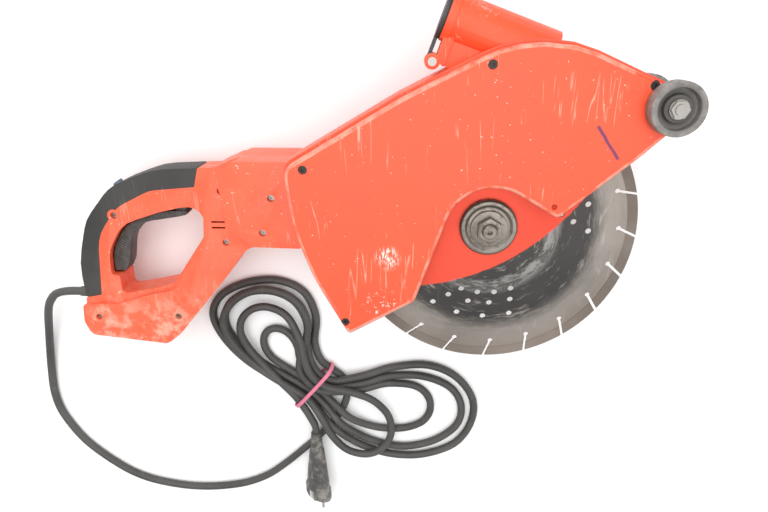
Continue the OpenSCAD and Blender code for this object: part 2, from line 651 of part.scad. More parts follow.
module bridge_room() both([[-331, 27, 2], [-386, 24, 40], [-432, 4, 45], [-463, -38, 60], [-471, -119, 2],
  [-457, -119, 2], [-449, -42, 50], [-423, -9, 45], [-386, 10, 40], [-331, 15, 2]], core_half + seat);
module trigger() color("dimgray") difference() {
  union() {
    both(trigger_outline, trigger_half);
    both([[-341.8, 13.2, 4.5], [-352.2, 13.2, 4.5], [-362, -13, 1], [-350.5, -13, 1]], trigger_half - 2);
  }
  translate(trigger_axis) rod(2.5 + run_gap, 0, 200);
}
module trigger_pin() color("silver") translate(trigger_axis) rod(2.5, motor_z - 13.5, motor_z + 13.5);
module trigger_spring() color("silver") translate([-386, 0, motor_z]) rotate([-90, 0, 0])
  coil(3.4, 0.5, -11.4, switch_low - air, 8);
module lock_button() color("slategray") at_button() {
  rod(6, -6 - air - eps, button_travel + 1);
  rod(7.5, -8, -6 - air);
}
module lock_button_spring() color("silver") at_button() coil(4, 0.5, -14, -8.2, 4);
module switch_module() color("black") translate([-402.6, switch_low, motor_z - 9]) cube([45.8, 16, 18]);
module electronics_module() color("darkgreen") translate([-461.2, -160, motor_z - 18]) cube([62, 29, 36]);

// ---- front handle ----
bow_foot_t = 5;
module bow_leg(x) translate([x, bow_seat_y, bow_z]) rotate([-90, 0, 0]) rod(bow_d / 2, 0, bow_y - bow_bend - bow_seat_y);
module bow_corner(x, a) translate([x, bow_y - bow_bend, bow_z]) rotate(a)
  rotate_extrude(angle = 90) translate([bow_bend, 0]) circle(d = bow_d, $fn = 48);
module front_handle() color("dimgray") difference() {
  union() {
    for (x = bow_feet) {
      bow_leg(x);
      translate([x - 21, bow_seat_y, bow_z - 13]) cube([42, bow_foot_t, 26]);
    }
    bow_corner(bow_front - bow_bend, 0);
    bow_corner(bow_rear + bow_bend, 90);
    translate([bow_rear + bow_bend, bow_y, bow_z]) rotate([0, 90, 0])
      rod(bow_d / 2, 0, bow_front - bow_rear - 2 * bow_bend);
  }
  bow_bolt_holes(3 + seat);
}
module front_grip() color("black") translate([bow_rear + bow_bend, bow_y, bow_z]) rotate([0, 90, 0])
  ring(bow_grip_d / 2, bow_d / 2 + seat, 0, bow_front - bow_rear - 2 * bow_bend);
module front_handle_bolts() color("gray") at_bow_bolts() {
  rod(3, -bow_foot_t - eps, 8.5);
  rod(4.5, -bow_foot_t - 4, -bow_foot_t);
}

// ---- cord, hank and plug ----
cord_r = cord_d / 2;
module cord_sleeve() color("black") translate([exit_x, sleeve_y, motor_z]) rotate([0, 90, 0]) {
  cylinder(r1 = cord_r + 1, r2 = 7.4, h = 20);
  rod(sleeve_hole_r - run_gap, 20 - eps, 32);
}
lead_route = [[-500.2, -121, 56], [-514, -121.3, 55.5], [-528, -124, 53], [-541, -130, 48.5], [-553, -141, 41.5],
  [-564, -157, 33], [-574, -179, 23.5], [-583, -206, 15], [-591, -236, 9], [-597, -270, 6], [-600, -305, 5.25],
  [-596, -336, 5.25], [-583, -366, 5.25], [-567, -391, 5.25], [-547, -412, 5.25], [-526, -430, 5.25],
  [-503, -446, 5.25], [-476, -458, 5.25], [-447, -465, 5.25], [-416, -469, 5.25], [-385, -469, 5.25],
  [-353, -465, 5.25], [-322, -457, 5.25], [-290, -441, 5.25], [-262, -418, 5.25], [-240, -397, 5.25],
  [-222, -376, 5.25], [-209, -364.2, 5.25], [-196.1, -354.2, 5.25]];
tail_route = [[-225.9, -313.7, 21], [-224.5, -323.5, 21], [-219.5, -332, 21], [-213.5, -342, 21], [-213, -349.4, 21]];
// A smooth path through the points: one Catmull-Rom stretch between each pair, in parts of equal t.
function at_or_end(p, i) = p[max(0, min(len(p) - 1, i))];
function smooth(p, parts) = [for (i = [0 : len(p) - 2], k = [0 : parts - 1])
  let (t = k / parts, a = at_or_end(p, i - 1), b = p[i], c = p[i + 1], d = at_or_end(p, i + 2))
  0.5 * (2 * b + (c - a) * t + (2 * a - 5 * b + 4 * c - d) * t * t + (3 * b - a - 3 * c + d) * t * t * t),
  p[len(p) - 1]];
module tube_along(path, r, sides) {
  n = len(path);
  side_dir = [for (i = [0 : n - 1])
    let (d = unit(at_or_end(path, i + 1) - at_or_end(path, i - 1))) unit(cross(d, [0, 0, 1]))];
  up_dir = [for (i = [0 : n - 1])
    let (d = unit(at_or_end(path, i + 1) - at_or_end(path, i - 1))) cross(side_dir[i], d)];
  points = [for (i = [0 : n - 1], k = [0 : sides - 1])
    path[i] + r * (cos(360 * (k + 0.5) / sides) * side_dir[i] + sin(360 * (k + 0.5) / sides) * up_dir[i])];
  faces = [[for (k = [0 : sides - 1]) k], [for (k = [sides - 1 : -1 : 0]) (n - 1) * sides + k],
    each [for (i = [0 : n - 2], k = [0 : sides - 1])
      [i * sides + k, (i + 1) * sides + k, (i + 1) * sides + (k + 1) % sides, i * sides + (k + 1) % sides]]];
  polyhedron(points, faces, convexity = 10);
}
// The lead from the handle to the hank, and the tail from the hank to the plug.
module cord_lead() color("dimgray") {
  tube_along(smooth(lead_route, 2), cord_r, 8);
  tube_along(smooth(tail_route, 2), cord_r, 8);
}
left_lobe = [[-196, -242, 20], [-200, -170, 30], [-238, -116, 20], [-290, -116, 20], [-330, -128, 18],
  [-357, -150, 16], [-352, -190, 25], [-318, -236, 40], [-236, -293, 16]];
right_lobe = [[-220.5, -309, 12], [-196, -354, 20], [-150, -402, 20], [-110, -408, 30], [-55, -406, 40],
  [0, -368, 45], [18, -310, 40], [8, -262, 30], [-40, -236, 30], [-110, -258, 60], [-180, -252, 20]];
waist = [[-172, -250, 11], [-211, -237, 10], [-245, -297, 12], [-216, -318, 12]];
tie_at = [-213, -274];
tie_w = 5;
tie_len = 84;
tie_t = 1.3;
module at_tie() translate(tie_at) rotate(50) children();
module tie_box(grow, w) at_tie()
  translate([-tie_len / 2 - grow, -w / 2, -grow]) cube([tie_len + 2 * grow, w, hank_h + 11 + 2 * grow]);
module cord_hank() color("dimgray") {
  slab(left_lobe, 0, hank_h);
  slab(right_lobe, 0, hank_h);
  slab(waist, tie_t + seat, hank_h + 11);
}
// The rubber band round the hank's waist.
module cord_tie() color("hotpink") translate([0, 0, tie_t]) difference() {
  tie_box(tie_t, tie_w);
  tie_box(0, tie_w + 1);
}
plug_x = -213;
plug_z = 21;
plug_roll = 40;
plug_from = -350;
// Draws along +Z what runs from the plug's cord end to its pins.
module on_plug() translate([plug_x, plug_from, plug_z]) rotate([90, 0, 0]) rotate(plug_roll) children();
module plug_oval(r, side, z0, z1) hull() for (s = [-side, side]) translate([s, 0, 0]) rod(r, z0, z1, $fn = 32);
module plug() {
  color("dimgray") on_plug() {
    cylinder(r1 = 8, r2 = 10, h = 28);
    hull() {
      rod(10, 28 - eps, 30);
      plug_oval(12.5, 8, 92, 96);
    }
    plug_oval(14, 10, 96 - eps, 112);
  }
  color("silver") on_plug() for (s = [-9.5, 9.5]) translate([s, 0, 0]) rod(2.4, 112 - eps, 131);
}

gearbox_housing();
gearbox_cover();
gear_cover_gasket();
gearbox_cover_screws();
gearbox_bolts();
spindle_bearings();
spindle_seal();
spindle();
bevel_gear();
spindle_lock_button();
spindle_lock_spring();
inner_flange();
blade_core();
blade_segments();
outer_flange();
flange_nut();
guard_shell();
guard_cover();
guard_screws();
roller_axle();
roller_nuts();
roller_left();
roller_right();
roller_bushes();
port_cap();
port_cap_seal();
port_cap_pin();
port_cap_spring();
motor_housing();
stator_core();
stator_winding();
armature_shaft();
armature_core();
armature_winding();
commutator();
cooling_fan();
bevel_pinion();
motor_bearings();
brush_holders();
carbon_brushes();
brush_springs();
handle_left();
handle_right();
handle_screws();
grip_overmould();
trigger();
trigger_pin();
trigger_spring();
lock_button();
lock_button_spring();
switch_module();
electronics_module();
front_handle();
front_grip();
front_handle_bolts();
cord_sleeve();
cord_lead();
cord_hank();
cord_tie();
plug();
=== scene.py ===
# %% [markdown]
# # A concrete cut-off saw
# The saw lies on its right side on a pale floor. Its measured model comes in as a fixed frame: every
# turning and sliding piece is already in its place, and this lesson gives the pieces their looks.
# First comes the frame.

# %% Load the frame
import bpy, bmesh, json
from math import cos, pi, radians, sin
from mathutils import Matrix, Vector
from mathutils.geometry import intersect_point_line


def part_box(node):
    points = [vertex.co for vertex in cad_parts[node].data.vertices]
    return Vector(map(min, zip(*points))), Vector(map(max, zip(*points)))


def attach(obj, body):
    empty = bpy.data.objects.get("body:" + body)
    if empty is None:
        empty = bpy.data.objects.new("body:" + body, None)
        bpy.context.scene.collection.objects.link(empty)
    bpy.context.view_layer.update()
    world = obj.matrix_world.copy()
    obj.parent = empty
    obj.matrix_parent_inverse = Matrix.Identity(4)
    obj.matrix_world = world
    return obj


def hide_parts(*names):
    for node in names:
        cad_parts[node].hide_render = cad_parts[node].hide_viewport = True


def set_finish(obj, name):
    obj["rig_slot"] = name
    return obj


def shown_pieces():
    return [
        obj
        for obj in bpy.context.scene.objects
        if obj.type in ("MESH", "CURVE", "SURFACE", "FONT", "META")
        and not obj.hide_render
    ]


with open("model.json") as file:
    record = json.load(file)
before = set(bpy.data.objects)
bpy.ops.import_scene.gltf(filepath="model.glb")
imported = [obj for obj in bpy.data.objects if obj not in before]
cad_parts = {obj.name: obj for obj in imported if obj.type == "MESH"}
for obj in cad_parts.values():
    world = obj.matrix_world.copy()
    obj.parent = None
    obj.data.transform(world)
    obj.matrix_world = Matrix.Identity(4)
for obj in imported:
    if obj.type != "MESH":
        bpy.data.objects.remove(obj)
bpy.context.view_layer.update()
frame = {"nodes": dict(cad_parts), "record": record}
nodes = frame["nodes"]

# %% [markdown]
# ## The camera
# The saw is seen from above its left side. The camera stands three quarters of a metre up and is
# tipped a little, so the hood's lower edges and the floor side of the handle just show.

# %% Camera
camera_data = bpy.data.cameras.new("camera")
camera_data.lens = 29.06
camera_data.clip_start = 0.01
camera = bpy.data.objects.new("camera", camera_data)
bpy.context.scene.collection.objects.link(camera)
camera.matrix_world = (Matrix.Translation((-0.0754, 0.1991, 0.76005))
                       @ Matrix.Rotation(0.054, 4, "Y") @ Matrix.Rotation(-0.359, 4, "X"))
bpy.context.scene.camera = camera
print("camera at", tuple(round(v, 3) for v in camera.location))

# %% [markdown]
# ## The mains cord
# The cord is one length of thick rubber cable. It leaves the handle, drops to the floor, sweeps round
# and is laid up in loops that a rubber band holds at the waist; its tail ends in the plug. A curve is
# the natural way to make it: its points are the route, and its bevel is the cable's thickness. The loops
# on each side lie inside one another, so that no loop has to pass through its neighbour.

# %% Route of the cord
cord_d = 0.0105
cord_r = cord_d / 2
low = 5.3                              # height of a cord's middle when it lies on the floor, in mm
upper = 16.4                           # the same, lying on another cord
lead = [(-500.2, -121, 56), (-514, -121.3, 55.5), (-528, -124, 53), (-541, -130, 48.5), (-553, -141, 41.5),
        (-564, -157, 33), (-574, -179, 23.5), (-583, -206, 15), (-591, -236, 9), (-597, -270, 6), (-600, -305, low),
        (-596, -336, low), (-583, -366, low), (-567, -391, low), (-547, -412, low), (-526, -430, low),
        (-503, -446, low), (-476, -458, low), (-447, -465, low), (-416, -469, low), (-385, -469, low),
        (-353, -465, low), (-322, -457, low), (-290, -441, low), (-262, -418, low), (-240, -397, low),
        (-218, -375, low), (-197, -351, low), (-179, -326, low), (-169, -298, low), (-171, -273, low)]
waist_at = Vector((-213, -274, 0))     # where the rubber band holds the hank
band_way = Vector((cos(radians(50)), sin(radians(50)), 0))
pass_way = Vector((cos(radians(-40)), sin(radians(-40)), 0))


def through_waist(across, z, way):
    """Two points of a pass through the band: way is 1 towards the right lobe and -1 towards the left."""
    return [tuple(waist_at + band_way * across + pass_way * (13 * way * s) + Vector((0, 0, z)))
            for s in (-1, 1)]


def at_height(points, z=low):
    """Points of a loop: those that give no height of their own lie at z."""
    return [p if len(p) == 3 else (*p, z) for p in points]


left_1 = at_height([(-212, -214), (-209, -174), (-224, -138), (-258, -122), (-300, -126), (-336, -145),
                    (-351, -174), (-340, -208), (-313, -242), (-276, -270)])
right_1 = at_height([(-207, -322, 12), (-190, -343, 16.4), (-165, -368, 11), (-135, -388), (-98, -397), (-56, -394),
                     (-14, -374), (8, -338), (9, -298), (-16, -262), (-56, -245), (-105, -250), (-145, -262, 10)])
left_2 = at_height([(-221, -224, 12), (-222, -184), (-238, -152), (-268, -138), (-304, -142), (-330, -162),
                    (-334, -190), (-316, -222), (-282, -252)])
right_2 = at_height([(-196, -316, 12), (-180, -335, 16.4), (-157, -357, 11), (-127, -375), (-88, -382), (-44, -370),
                     (-12, -342), (-7, -308), (-24, -279), (-62, -263), (-108, -264), (-150, -275, 11)])
left_3 = at_height([(-233, -234, 12), (-238, -196), (-256, -167), (-288, -158), (-314, -178), (-308, -208),
                    (-274, -240)])
right_3 = at_height([(-185, -309, 13), (-168, -325, 16.4), (-147, -341, 10), (-118, -351), (-84, -349), (-54, -333),
                     (-45, -305), (-64, -281), (-110, -276), (-155, -285, 12)])
left_4 = at_height([(-233, -244, 20), (-224, -212, 17), (-219, -178), (-236, -144), (-276, -131), (-314, -146),
                    (-334, -178), (-322, -214), (-288, -252)], upper)
right_4 = at_height([(-202, -326, 26), (-190, -356, 21), (-167, -384), (-133, -388), (-108, -362),
                     (-108, -326), (-130, -296, 20), (-162, -279, 26)], upper)
left_5 = at_height([(-223, -230, 29), (-231, -196, 23), (-250, -166), (-284, -156), (-312, -176), (-306, -212),
                    (-276, -254)], upper)
tail = [(-242, -291, 19), (-224, -318, 21), (-214, -340, 21), (-213, -351, 21)]
route = [*lead, *through_waist(31, 6.8, -1), *left_1, *through_waist(-30, 6.8, 1),
         *right_1, *through_waist(20, 17.6, -1), *left_2, *through_waist(-19, 6.8, 1),
         *right_2, *through_waist(9, 17.6, -1), *left_3, *through_waist(-8, 6.8, 1),
         *right_3, *through_waist(-2, 17.6, -1), *left_4, *through_waist(-26, 17.6, 1),
         *right_4, *through_waist(15, 28.4, -1), *left_5, *tail]

# %% Cord curve
def along(points, step):
    """The route again as points about one step apart, on a smooth line through all of its points."""
    made = [points[0]]
    for i in range(len(points) - 1):
        p, q = points[i], points[i + 1]
        before, after = points[max(i - 1, 0)], points[min(i + 2, len(points) - 1)]
        parts = max(round((q - p).length / step), 1)
        for k in range(1, parts + 1):
            t = k / parts
            made.append(0.5 * (2 * p + (q - before) * t + (2 * before - 5 * p + 4 * q - after) * t * t
                               + (3 * p - before - 3 * q + after) * t * t * t))
    return made


def eased(points, step, tightest, fixed=2, rounds=400):
    """Opens the bends: a point that bends more than a stiff cable can goes towards its neighbours' middle."""
    made = along(points, step)
    for _ in range(rounds):
        for i in range(fixed, len(made) - fixed):
            bow = (made[i - 1] + made[i + 1]) / 2 - made[i]
            most = (made[i + 1] - made[i - 1]).length_squared / (8 * tightest)
            if bow.length > most:
                made[i] = made[i] + bow * 0.6 * (1 - most / bow.length)
    return made


def smooth_curve(name, points, radius):
    """A round cable through points in millimetres. Its points carry the radius, and the bevel takes it over."""
    data = bpy.data.curves.new(name, "CURVE")
    data.dimensions = "3D"
    data.resolution_u = 4
    data.bevel_depth = 1.0
    data.bevel_resolution = 4
    data.use_fill_caps = True
    spline = data.splines.new("BEZIER")
    spline.bezier_points.add(len(points) - 1)
    for i, point in enumerate(spline.bezier_points):
        reach = (points[min(i + 1, len(points) - 1)] - points[max(i - 1, 0)]) / 6000
        point.co, point.radius = points[i] / 1000, radius
        point.handle_left_type = point.handle_right_type = "ALIGNED"
        point.handle_left, point.handle_right = point.co - reach, point.co + reach
    made = bpy.data.objects.new(name, data)
    bpy.context.scene.collection.objects.link(made)
    return made


cord_points = eased([Vector(p) for p in route], step=12, tightest=34)
cord = smooth_curve("mains_cord", cord_points, cord_r)
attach(cord, "saw")
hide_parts("cord_lead", "cord_hank")
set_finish(cord, "cord_rubber")

# %% [markdown]
# ## Lofted pieces
# The plug and its pins are sections joined into a skin. A small helper
# makes an object out of a bmesh, and another bridges a row of rings: circles that are moved, stretched
# and then joined with bridge_loops.

# %% Mesh helpers
def to_object(mesh_in_work, name, body, slot, smooth_below=40):
    """Turns a bmesh into a finished piece at the origin that rides on a body."""
    bmesh.ops.recalc_face_normals(mesh_in_work, faces=mesh_in_work.faces)
    data = bpy.data.meshes.new(name)
    mesh_in_work.to_mesh(data)
    mesh_in_work.free()
    data.polygons.foreach_set("use_smooth", [True] * len(data.polygons))
    data.set_sharp_from_angle(angle=radians(smooth_below))
    made = bpy.data.objects.new(name, data)
    bpy.context.scene.collection.objects.link(made)
    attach(made, body)
    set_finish(made, slot)
    return made


def loft(stations, turn, sides=40):
    """Rings of (along, half width, half height) joined into a closed skin and placed by the matrix turn."""
    work = bmesh.new()
    last = None
    for along, wide, high in stations:
        ring = bmesh.ops.create_circle(work, cap_ends=False, segments=sides, radius=1.0,
                                       matrix=turn @ Matrix.Translation((0, 0, along))
                                       @ Matrix.Diagonal((wide, high, 1, 1)))
        edges = list({e for v in ring["verts"] for e in v.link_edges})
        if last:
            bmesh.ops.bridge_loops(work, edges=last + edges)
        else:
            bmesh.ops.contextual_create(work, geom=edges)
        last = edges
    bmesh.ops.contextual_create(work, geom=last)
    return work


# %% [markdown]
# ## Plug, strain relief and band
# The plug is moulded rubber on the cord's end: a ribbed strain relief, a body that widens to an oval
# collar, and a flat face with two round pins. It is rolled on its side, as a plug comes to lie. Each
# is a loft, because every section across it is a circle or an oval.

# %% Plug
mm = 0.001
on_plug = (Matrix.Translation((-0.213, -0.350, 0.021)) @ Matrix.Rotation(radians(90), 4, "X")
           @ Matrix.Rotation(radians(40), 4, "Z"))
relief = [(0, 6.6 * mm, 6.6 * mm)]
for rib in range(5):
    start = 0.001 + rib * 0.0056
    r = (7.4 + rib * 0.45) * mm
    relief += [(start, r - 0.0012, r - 0.0012), (start + 0.0006, r, r), (start + 0.0034, r, r),
               (start + 0.004, r - 0.0012, r - 0.0012)]
body_rings = [(0.029, 0.0098, 0.0098), (0.031, 0.0108, 0.0105), (0.036, 0.0118, 0.0108), (0.050, 0.0142, 0.0114),
              (0.066, 0.0170, 0.0122), (0.080, 0.0192, 0.0126), (0.091, 0.0200, 0.0126), (0.0935, 0.0212, 0.0134),
              (0.0960, 0.0236, 0.0139), (0.1090, 0.0238, 0.0139), (0.1112, 0.0232, 0.0134), (0.1120, 0.0222, 0.0126)]
plug_skin = to_object(loft(relief + body_rings, on_plug), "plug_body", "saw", "cord_rubber", 50)
pins = bmesh.new()
for side in (-9.5 * mm, 9.5 * mm):
    pin = loft([(0.111, 0.0024, 0.0024), (0.1292, 0.0024, 0.0024), (0.1304, 0.0019, 0.0019),
                (0.131, 0.0009, 0.0009)], on_plug @ Matrix.Translation((side, 0, 0)), 20)
    part = bpy.data.meshes.new("pin")
    pin.to_mesh(part)
    pins.from_mesh(part)
    pin.free()
pin_pair = to_object(pins, "plug_pins", "saw", "steel")
contact_work = bmesh.new()
for side in (-1, 1):
    bmesh.ops.create_cube(contact_work, size=1.0, matrix=on_plug @ Matrix.Translation((0, side * 0.0135, 0.104))
                          @ Matrix.Diagonal((0.008, 0.0012, 0.013, 1)))
bmesh.ops.bevel(contact_work, geom=contact_work.edges[:], offset=0.0004, offset_type="OFFSET", segments=2,
                profile=0.5, affect="EDGES", material=-1)
earth_clips = to_object(contact_work, "plug_earth_clips", "saw", "steel")
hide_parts("plug")
print("plug", [round(v, 3) for v in plug_skin.dimensions])

# %% Rubber band
band = bmesh.new()
band_ring = []
for k in range(40):
    turn = 2 * pi * k / 40
    high = sin(turn)
    reach = abs(cos(turn)) ** 0.5
    along = (40 if cos(turn) > 0 else -40) * reach
    up = 17.5 + (17.5 if high > 0 else -16.3) * abs(high) ** 0.6
    band_ring.append(waist_at + band_way * along + Vector((0, 0, max(up, 1.4))))
strip = [[band.verts.new((p + pass_way * side) / 1000) for side in (-2.4, 2.4)] for p in band_ring]
for k in range(40):
    a, b = strip[k], strip[(k + 1) % 40]
    band.faces.new((a[0], a[1], b[1], b[0]))
bmesh.ops.recalc_face_normals(band, faces=band.faces)
bmesh.ops.solidify(band, geom=band.faces[:], thickness=-0.0012)
tie = to_object(band, "hank_band", "saw", "tie_rubber")
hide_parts("cord_tie")
print("band", [round(v, 3) for v in tie.dimensions])

# %% [markdown]
# ## Shared shader groups
# Dust, scuffs, scratches and fine grain come back on almost every piece, so each is a node group that a
# material sets with its own numbers. The groups read Object coordinates, which are metres here, so a
# scale of 100 means a pattern about a centimetre across.

# %% Group builder
def socket_group(name, inputs, outputs):
    """A new shader group with its input and output nodes."""
    tree = bpy.data.node_groups.new(name, "ShaderNodeTree")
    for label, kind, value in inputs:
        made = tree.interface.new_socket(label, in_out="INPUT", socket_type=kind)
        if value is not None:
            made.default_value = value
    for label, kind in outputs:
        tree.interface.new_socket(label, in_out="OUTPUT", socket_type=kind)
    return tree, tree.nodes.new("NodeGroupInput"), tree.nodes.new("NodeGroupOutput")


def node(tree, kind, inputs=None, **settings):
    """A node with its settings and inputs; an input is a plain value or another node's output."""
    made = tree.nodes.new(kind)
    for key, value in settings.items():
        setattr(made, key, value)
    for key, value in (inputs or {}).items():
        if isinstance(value, bpy.types.NodeSocket):
            tree.links.new(value, made.inputs[key])
        else:
            made.inputs[key].default_value = value
    return made


def math(tree, operation, *values):
    made = node(tree, "ShaderNodeMath", {i: v for i, v in enumerate(values)}, operation=operation)
    return made.outputs[0]


def ramp(tree, value, low_end, high_end, to_low=0.0, to_high=1.0):
    """value turned from low_end..high_end to to_low..to_high, softly, and held there beyond."""
    made = node(tree, "ShaderNodeMapRange", {"Value": value, "From Min": low_end, "From Max": high_end,
                                             "To Min": to_low, "To Max": to_high}, interpolation_type="SMOOTHSTEP")
    return made.outputs["Result"]


def mix_colour(tree, mask, under, over):
    made = node(tree, "ShaderNodeMix", {0: mask, 6: under, 7: over}, data_type="RGBA")
    return made.outputs[2]


def speckle(tree, place, scale, detail=4.0, rough=0.6):
    return node(tree, "ShaderNodeTexNoise", {"Vector": place, "Scale": scale, "Detail": detail,
                                             "Roughness": rough}).outputs["Fac"]


# %% Dust, scratches and grain
NUMBER = "NodeSocketFloat"

dust_group, got, give = socket_group("settled_dust", [("Amount", NUMBER, 0.4), ("Scale", NUMBER, 30.0)],
                                       [("Mask", NUMBER)])
where = node(dust_group, "ShaderNodeTexCoord").outputs["Object"]
clouds = speckle(dust_group, where, got.outputs["Scale"], 6.0, 0.65)
fine = speckle(dust_group, where, math(dust_group, "MULTIPLY", got.outputs["Scale"], 14.0), 3.0, 0.7)
both_sizes = math(dust_group, "ADD", math(dust_group, "MULTIPLY", clouds, 0.65),
                  math(dust_group, "MULTIPLY", fine, 0.35))
edge_low = math(dust_group, "SUBTRACT", 0.72, math(dust_group, "MULTIPLY", got.outputs["Amount"], 0.42))
mask = node(dust_group, "ShaderNodeMapRange", {"Value": both_sizes, "From Min": edge_low,
            "From Max": math(dust_group, "ADD", edge_low, 0.16)}, interpolation_type="SMOOTHSTEP").outputs["Result"]
dust_group.links.new(mask, give.inputs["Mask"])

scratch_group, got, give = socket_group("thin_scratches", [("Amount", NUMBER, 0.5), ("Scale", NUMBER, 14.0)],
                                       [("Mask", NUMBER)])
where = node(scratch_group, "ShaderNodeTexCoord").outputs["Object"]
lines = None
for turn, stretch, width in ((25, 0.07, 0.010), (-52, 0.05, 0.008), (80, 0.09, 0.009), (8, 0.04, 0.007)):
    turned = node(scratch_group, "ShaderNodeMapping", {"Vector": where, "Rotation": (0, 0, radians(turn)),
                  "Scale": (1, stretch, 1), "Location": (turn * 0.013, 0.31, 0)}).outputs["Vector"]
    wavy = speckle(scratch_group, turned, math(scratch_group, "MULTIPLY", got.outputs["Scale"], 3.0), 2.0, 0.5)
    line = ramp(scratch_group, math(scratch_group, "ABSOLUTE", math(scratch_group, "SUBTRACT", wavy, 0.5)),
                0.0, width, 1.0, 0.0)
    gate = ramp(scratch_group, speckle(scratch_group, where, 16.0 + turn * 0.05, 3.0, 0.6), 0.55, 0.66)
    line = math(scratch_group, "MULTIPLY", line, gate)
    lines = line if lines is None else math(scratch_group, "MAXIMUM", lines, line)
scratch_group.links.new(math(scratch_group, "MULTIPLY", lines, got.outputs["Amount"]), give.inputs["Mask"])

grain_group, got, give = socket_group("fine_grain", [("Scale", NUMBER, 900.0)], [("Height", NUMBER)])
where = node(grain_group, "ShaderNodeTexCoord").outputs["Object"]
grain_group.links.new(speckle(grain_group, where, got.outputs["Scale"], 4.0, 0.6), give.inputs["Height"])
print("groups:", [g.name for g in bpy.data.node_groups])

# %% [markdown]
# ## Finishes
# Moulded plastic, rubber, cast metal and turned steel differ in their colour, gloss and grain, but they
# gather dust and scratches in the same way. One function lays the shared effects over a base colour, and
# the pieces that need more, such as the hood and the blade, add their own masks to it.

# %% Finish builder
def place_group(tree, group, **values):
    made = node(tree, "ShaderNodeGroup", node_tree=group)
    for key, value in values.items():
        if isinstance(value, bpy.types.NodeSocket):
            tree.links.new(value, made.inputs[key])
        else:
            made.inputs[key].default_value = value
    return made


def finish(name, colour, rough=0.5, metal=0.0, dust=0.3, dust_colour=(0.46, 0.42, 0.37), dust_scale=30.0,
           scratch=0.0, scratch_colour=(0.8, 0.6, 0.5), grain=900.0, bump=0.15, patchy=0.12, coat=0.0,
           extra=None):
    """A material of one base colour under patches, scratches and dust. extra changes the colour last."""
    made = bpy.data.materials.new(name)
    made.use_nodes = True
    tree = made.node_tree
    shader = tree.nodes["Principled BSDF"]
    where = node(tree, "ShaderNodeTexCoord").outputs["Object"]
    shade = speckle(tree, where, 9.0, 5.0, 0.6)
    dark = tuple(v * (1 - patchy) for v in colour) + (1,)
    light = tuple(min(1, v * (1 + patchy) + patchy * 0.03) for v in colour) + (1,)
    tint = mix_colour(tree, ramp(tree, shade, 0.3, 0.7), dark, light)
    if scratch:
        marks = place_group(tree, scratch_group, Amount=scratch).outputs["Mask"]
        tint = mix_colour(tree, marks, tint, scratch_colour + (1,))
    roughness = ramp(tree, shade, 0.3, 0.7, rough - 0.06, rough + 0.06)
    if dust:
        dirt = place_group(tree, dust_group, Amount=dust, Scale=dust_scale).outputs["Mask"]
        dirt = math(tree, "MULTIPLY", dirt, 0.75)
        tint = mix_colour(tree, dirt, tint, dust_colour + (1,))
        roughness = math(tree, "ADD", roughness, math(tree, "MULTIPLY", dirt, 0.25))
    if extra:
        tint, roughness = extra(tree, where, tint, roughness)
    tree.links.new(tint, shader.inputs["Base Color"])
    tree.links.new(roughness, shader.inputs["Roughness"])
    shader.inputs["Metallic"].default_value = metal
    shader.inputs["Coat Weight"].default_value = coat
    height = place_group(tree, grain_group, Scale=grain).outputs["Height"]
    relief_node = node(tree, "ShaderNodeBump", {"Height": height, "Strength": bump, "Distance": 0.0004})
    tree.links.new(relief_node.outputs["Normal"], shader.inputs["Normal"])
    return made


def spot(tree, where, x, y, radius, soft):
    """A round patch about a place on the saw, 1 inside and 0 beyond radius + soft."""
    away = node(tree, "ShaderNodeVectorMath", {0: where, 1: (x, y, 0)}, operation="SUBTRACT").outputs[0]
    flat_away = node(tree, "ShaderNodeVectorMath", {0: away, 1: (1, 1, 0)}, operation="MULTIPLY").outputs[0]
    far = node(tree, "ShaderNodeVectorMath", {0: flat_away}, operation="LENGTH").outputs["Value"]
    return ramp(tree, far, radius, radius + soft, 1.0, 0.0)


# %% [markdown]
# ## The hood's left cover
# The cover is a moulded lid with a rounded rim, and its outline is already in the frame. A cut across
# that node gives the outline, and rings that step inwards round it make a lid with a rounded rim. The rim's
# vertices carry a number called rim, so that the finish can wear the paint there.

# %% Outline of a node
def outline_at(name, z, tolerance=1e-5):
    """The longest closed outline of a CAD node at a height, as points in order."""
    cut = bmesh.new()
    cut.from_mesh(nodes[name].data)
    bmesh.ops.remove_doubles(cut, verts=cut.verts, dist=tolerance)
    geometry = cut.verts[:] + cut.edges[:] + cut.faces[:]
    done = bmesh.ops.bisect_plane(cut, geom=geometry, dist=1e-7, plane_co=(0, 0, z), plane_no=(0, 0, 1))
    edges = {g for g in done["geom_cut"] if isinstance(g, bmesh.types.BMEdge)}
    loops = []
    while edges:
        first = edges.pop()
        start, here = first.verts
        points = [start.co.copy(), here.co.copy()]
        while here != start:
            step = next((e for e in here.link_edges if e in edges), None)
            if step is None:
                break
            edges.discard(step)
            here = step.other_vert(here)
            points.append(here.co.copy())
        loops.append(points[:-1])
    cut.free()
    longest = max(loops, key=lambda p: sum((p[i] - p[i - 1]).length for i in range(len(p))))
    kept = [longest[0]]
    for p in longest[1:]:
        if (p - kept[-1]).length > 0.0012:
            kept.append(p)
    return kept


def distance_to_edge(point, start, end):
    """How far a point in the plane lies from a straight edge."""
    foot, share = intersect_point_line(point, start, end)
    return (point - (foot.xy if 0 < share < 1 else start if share <= 0 else end)).length


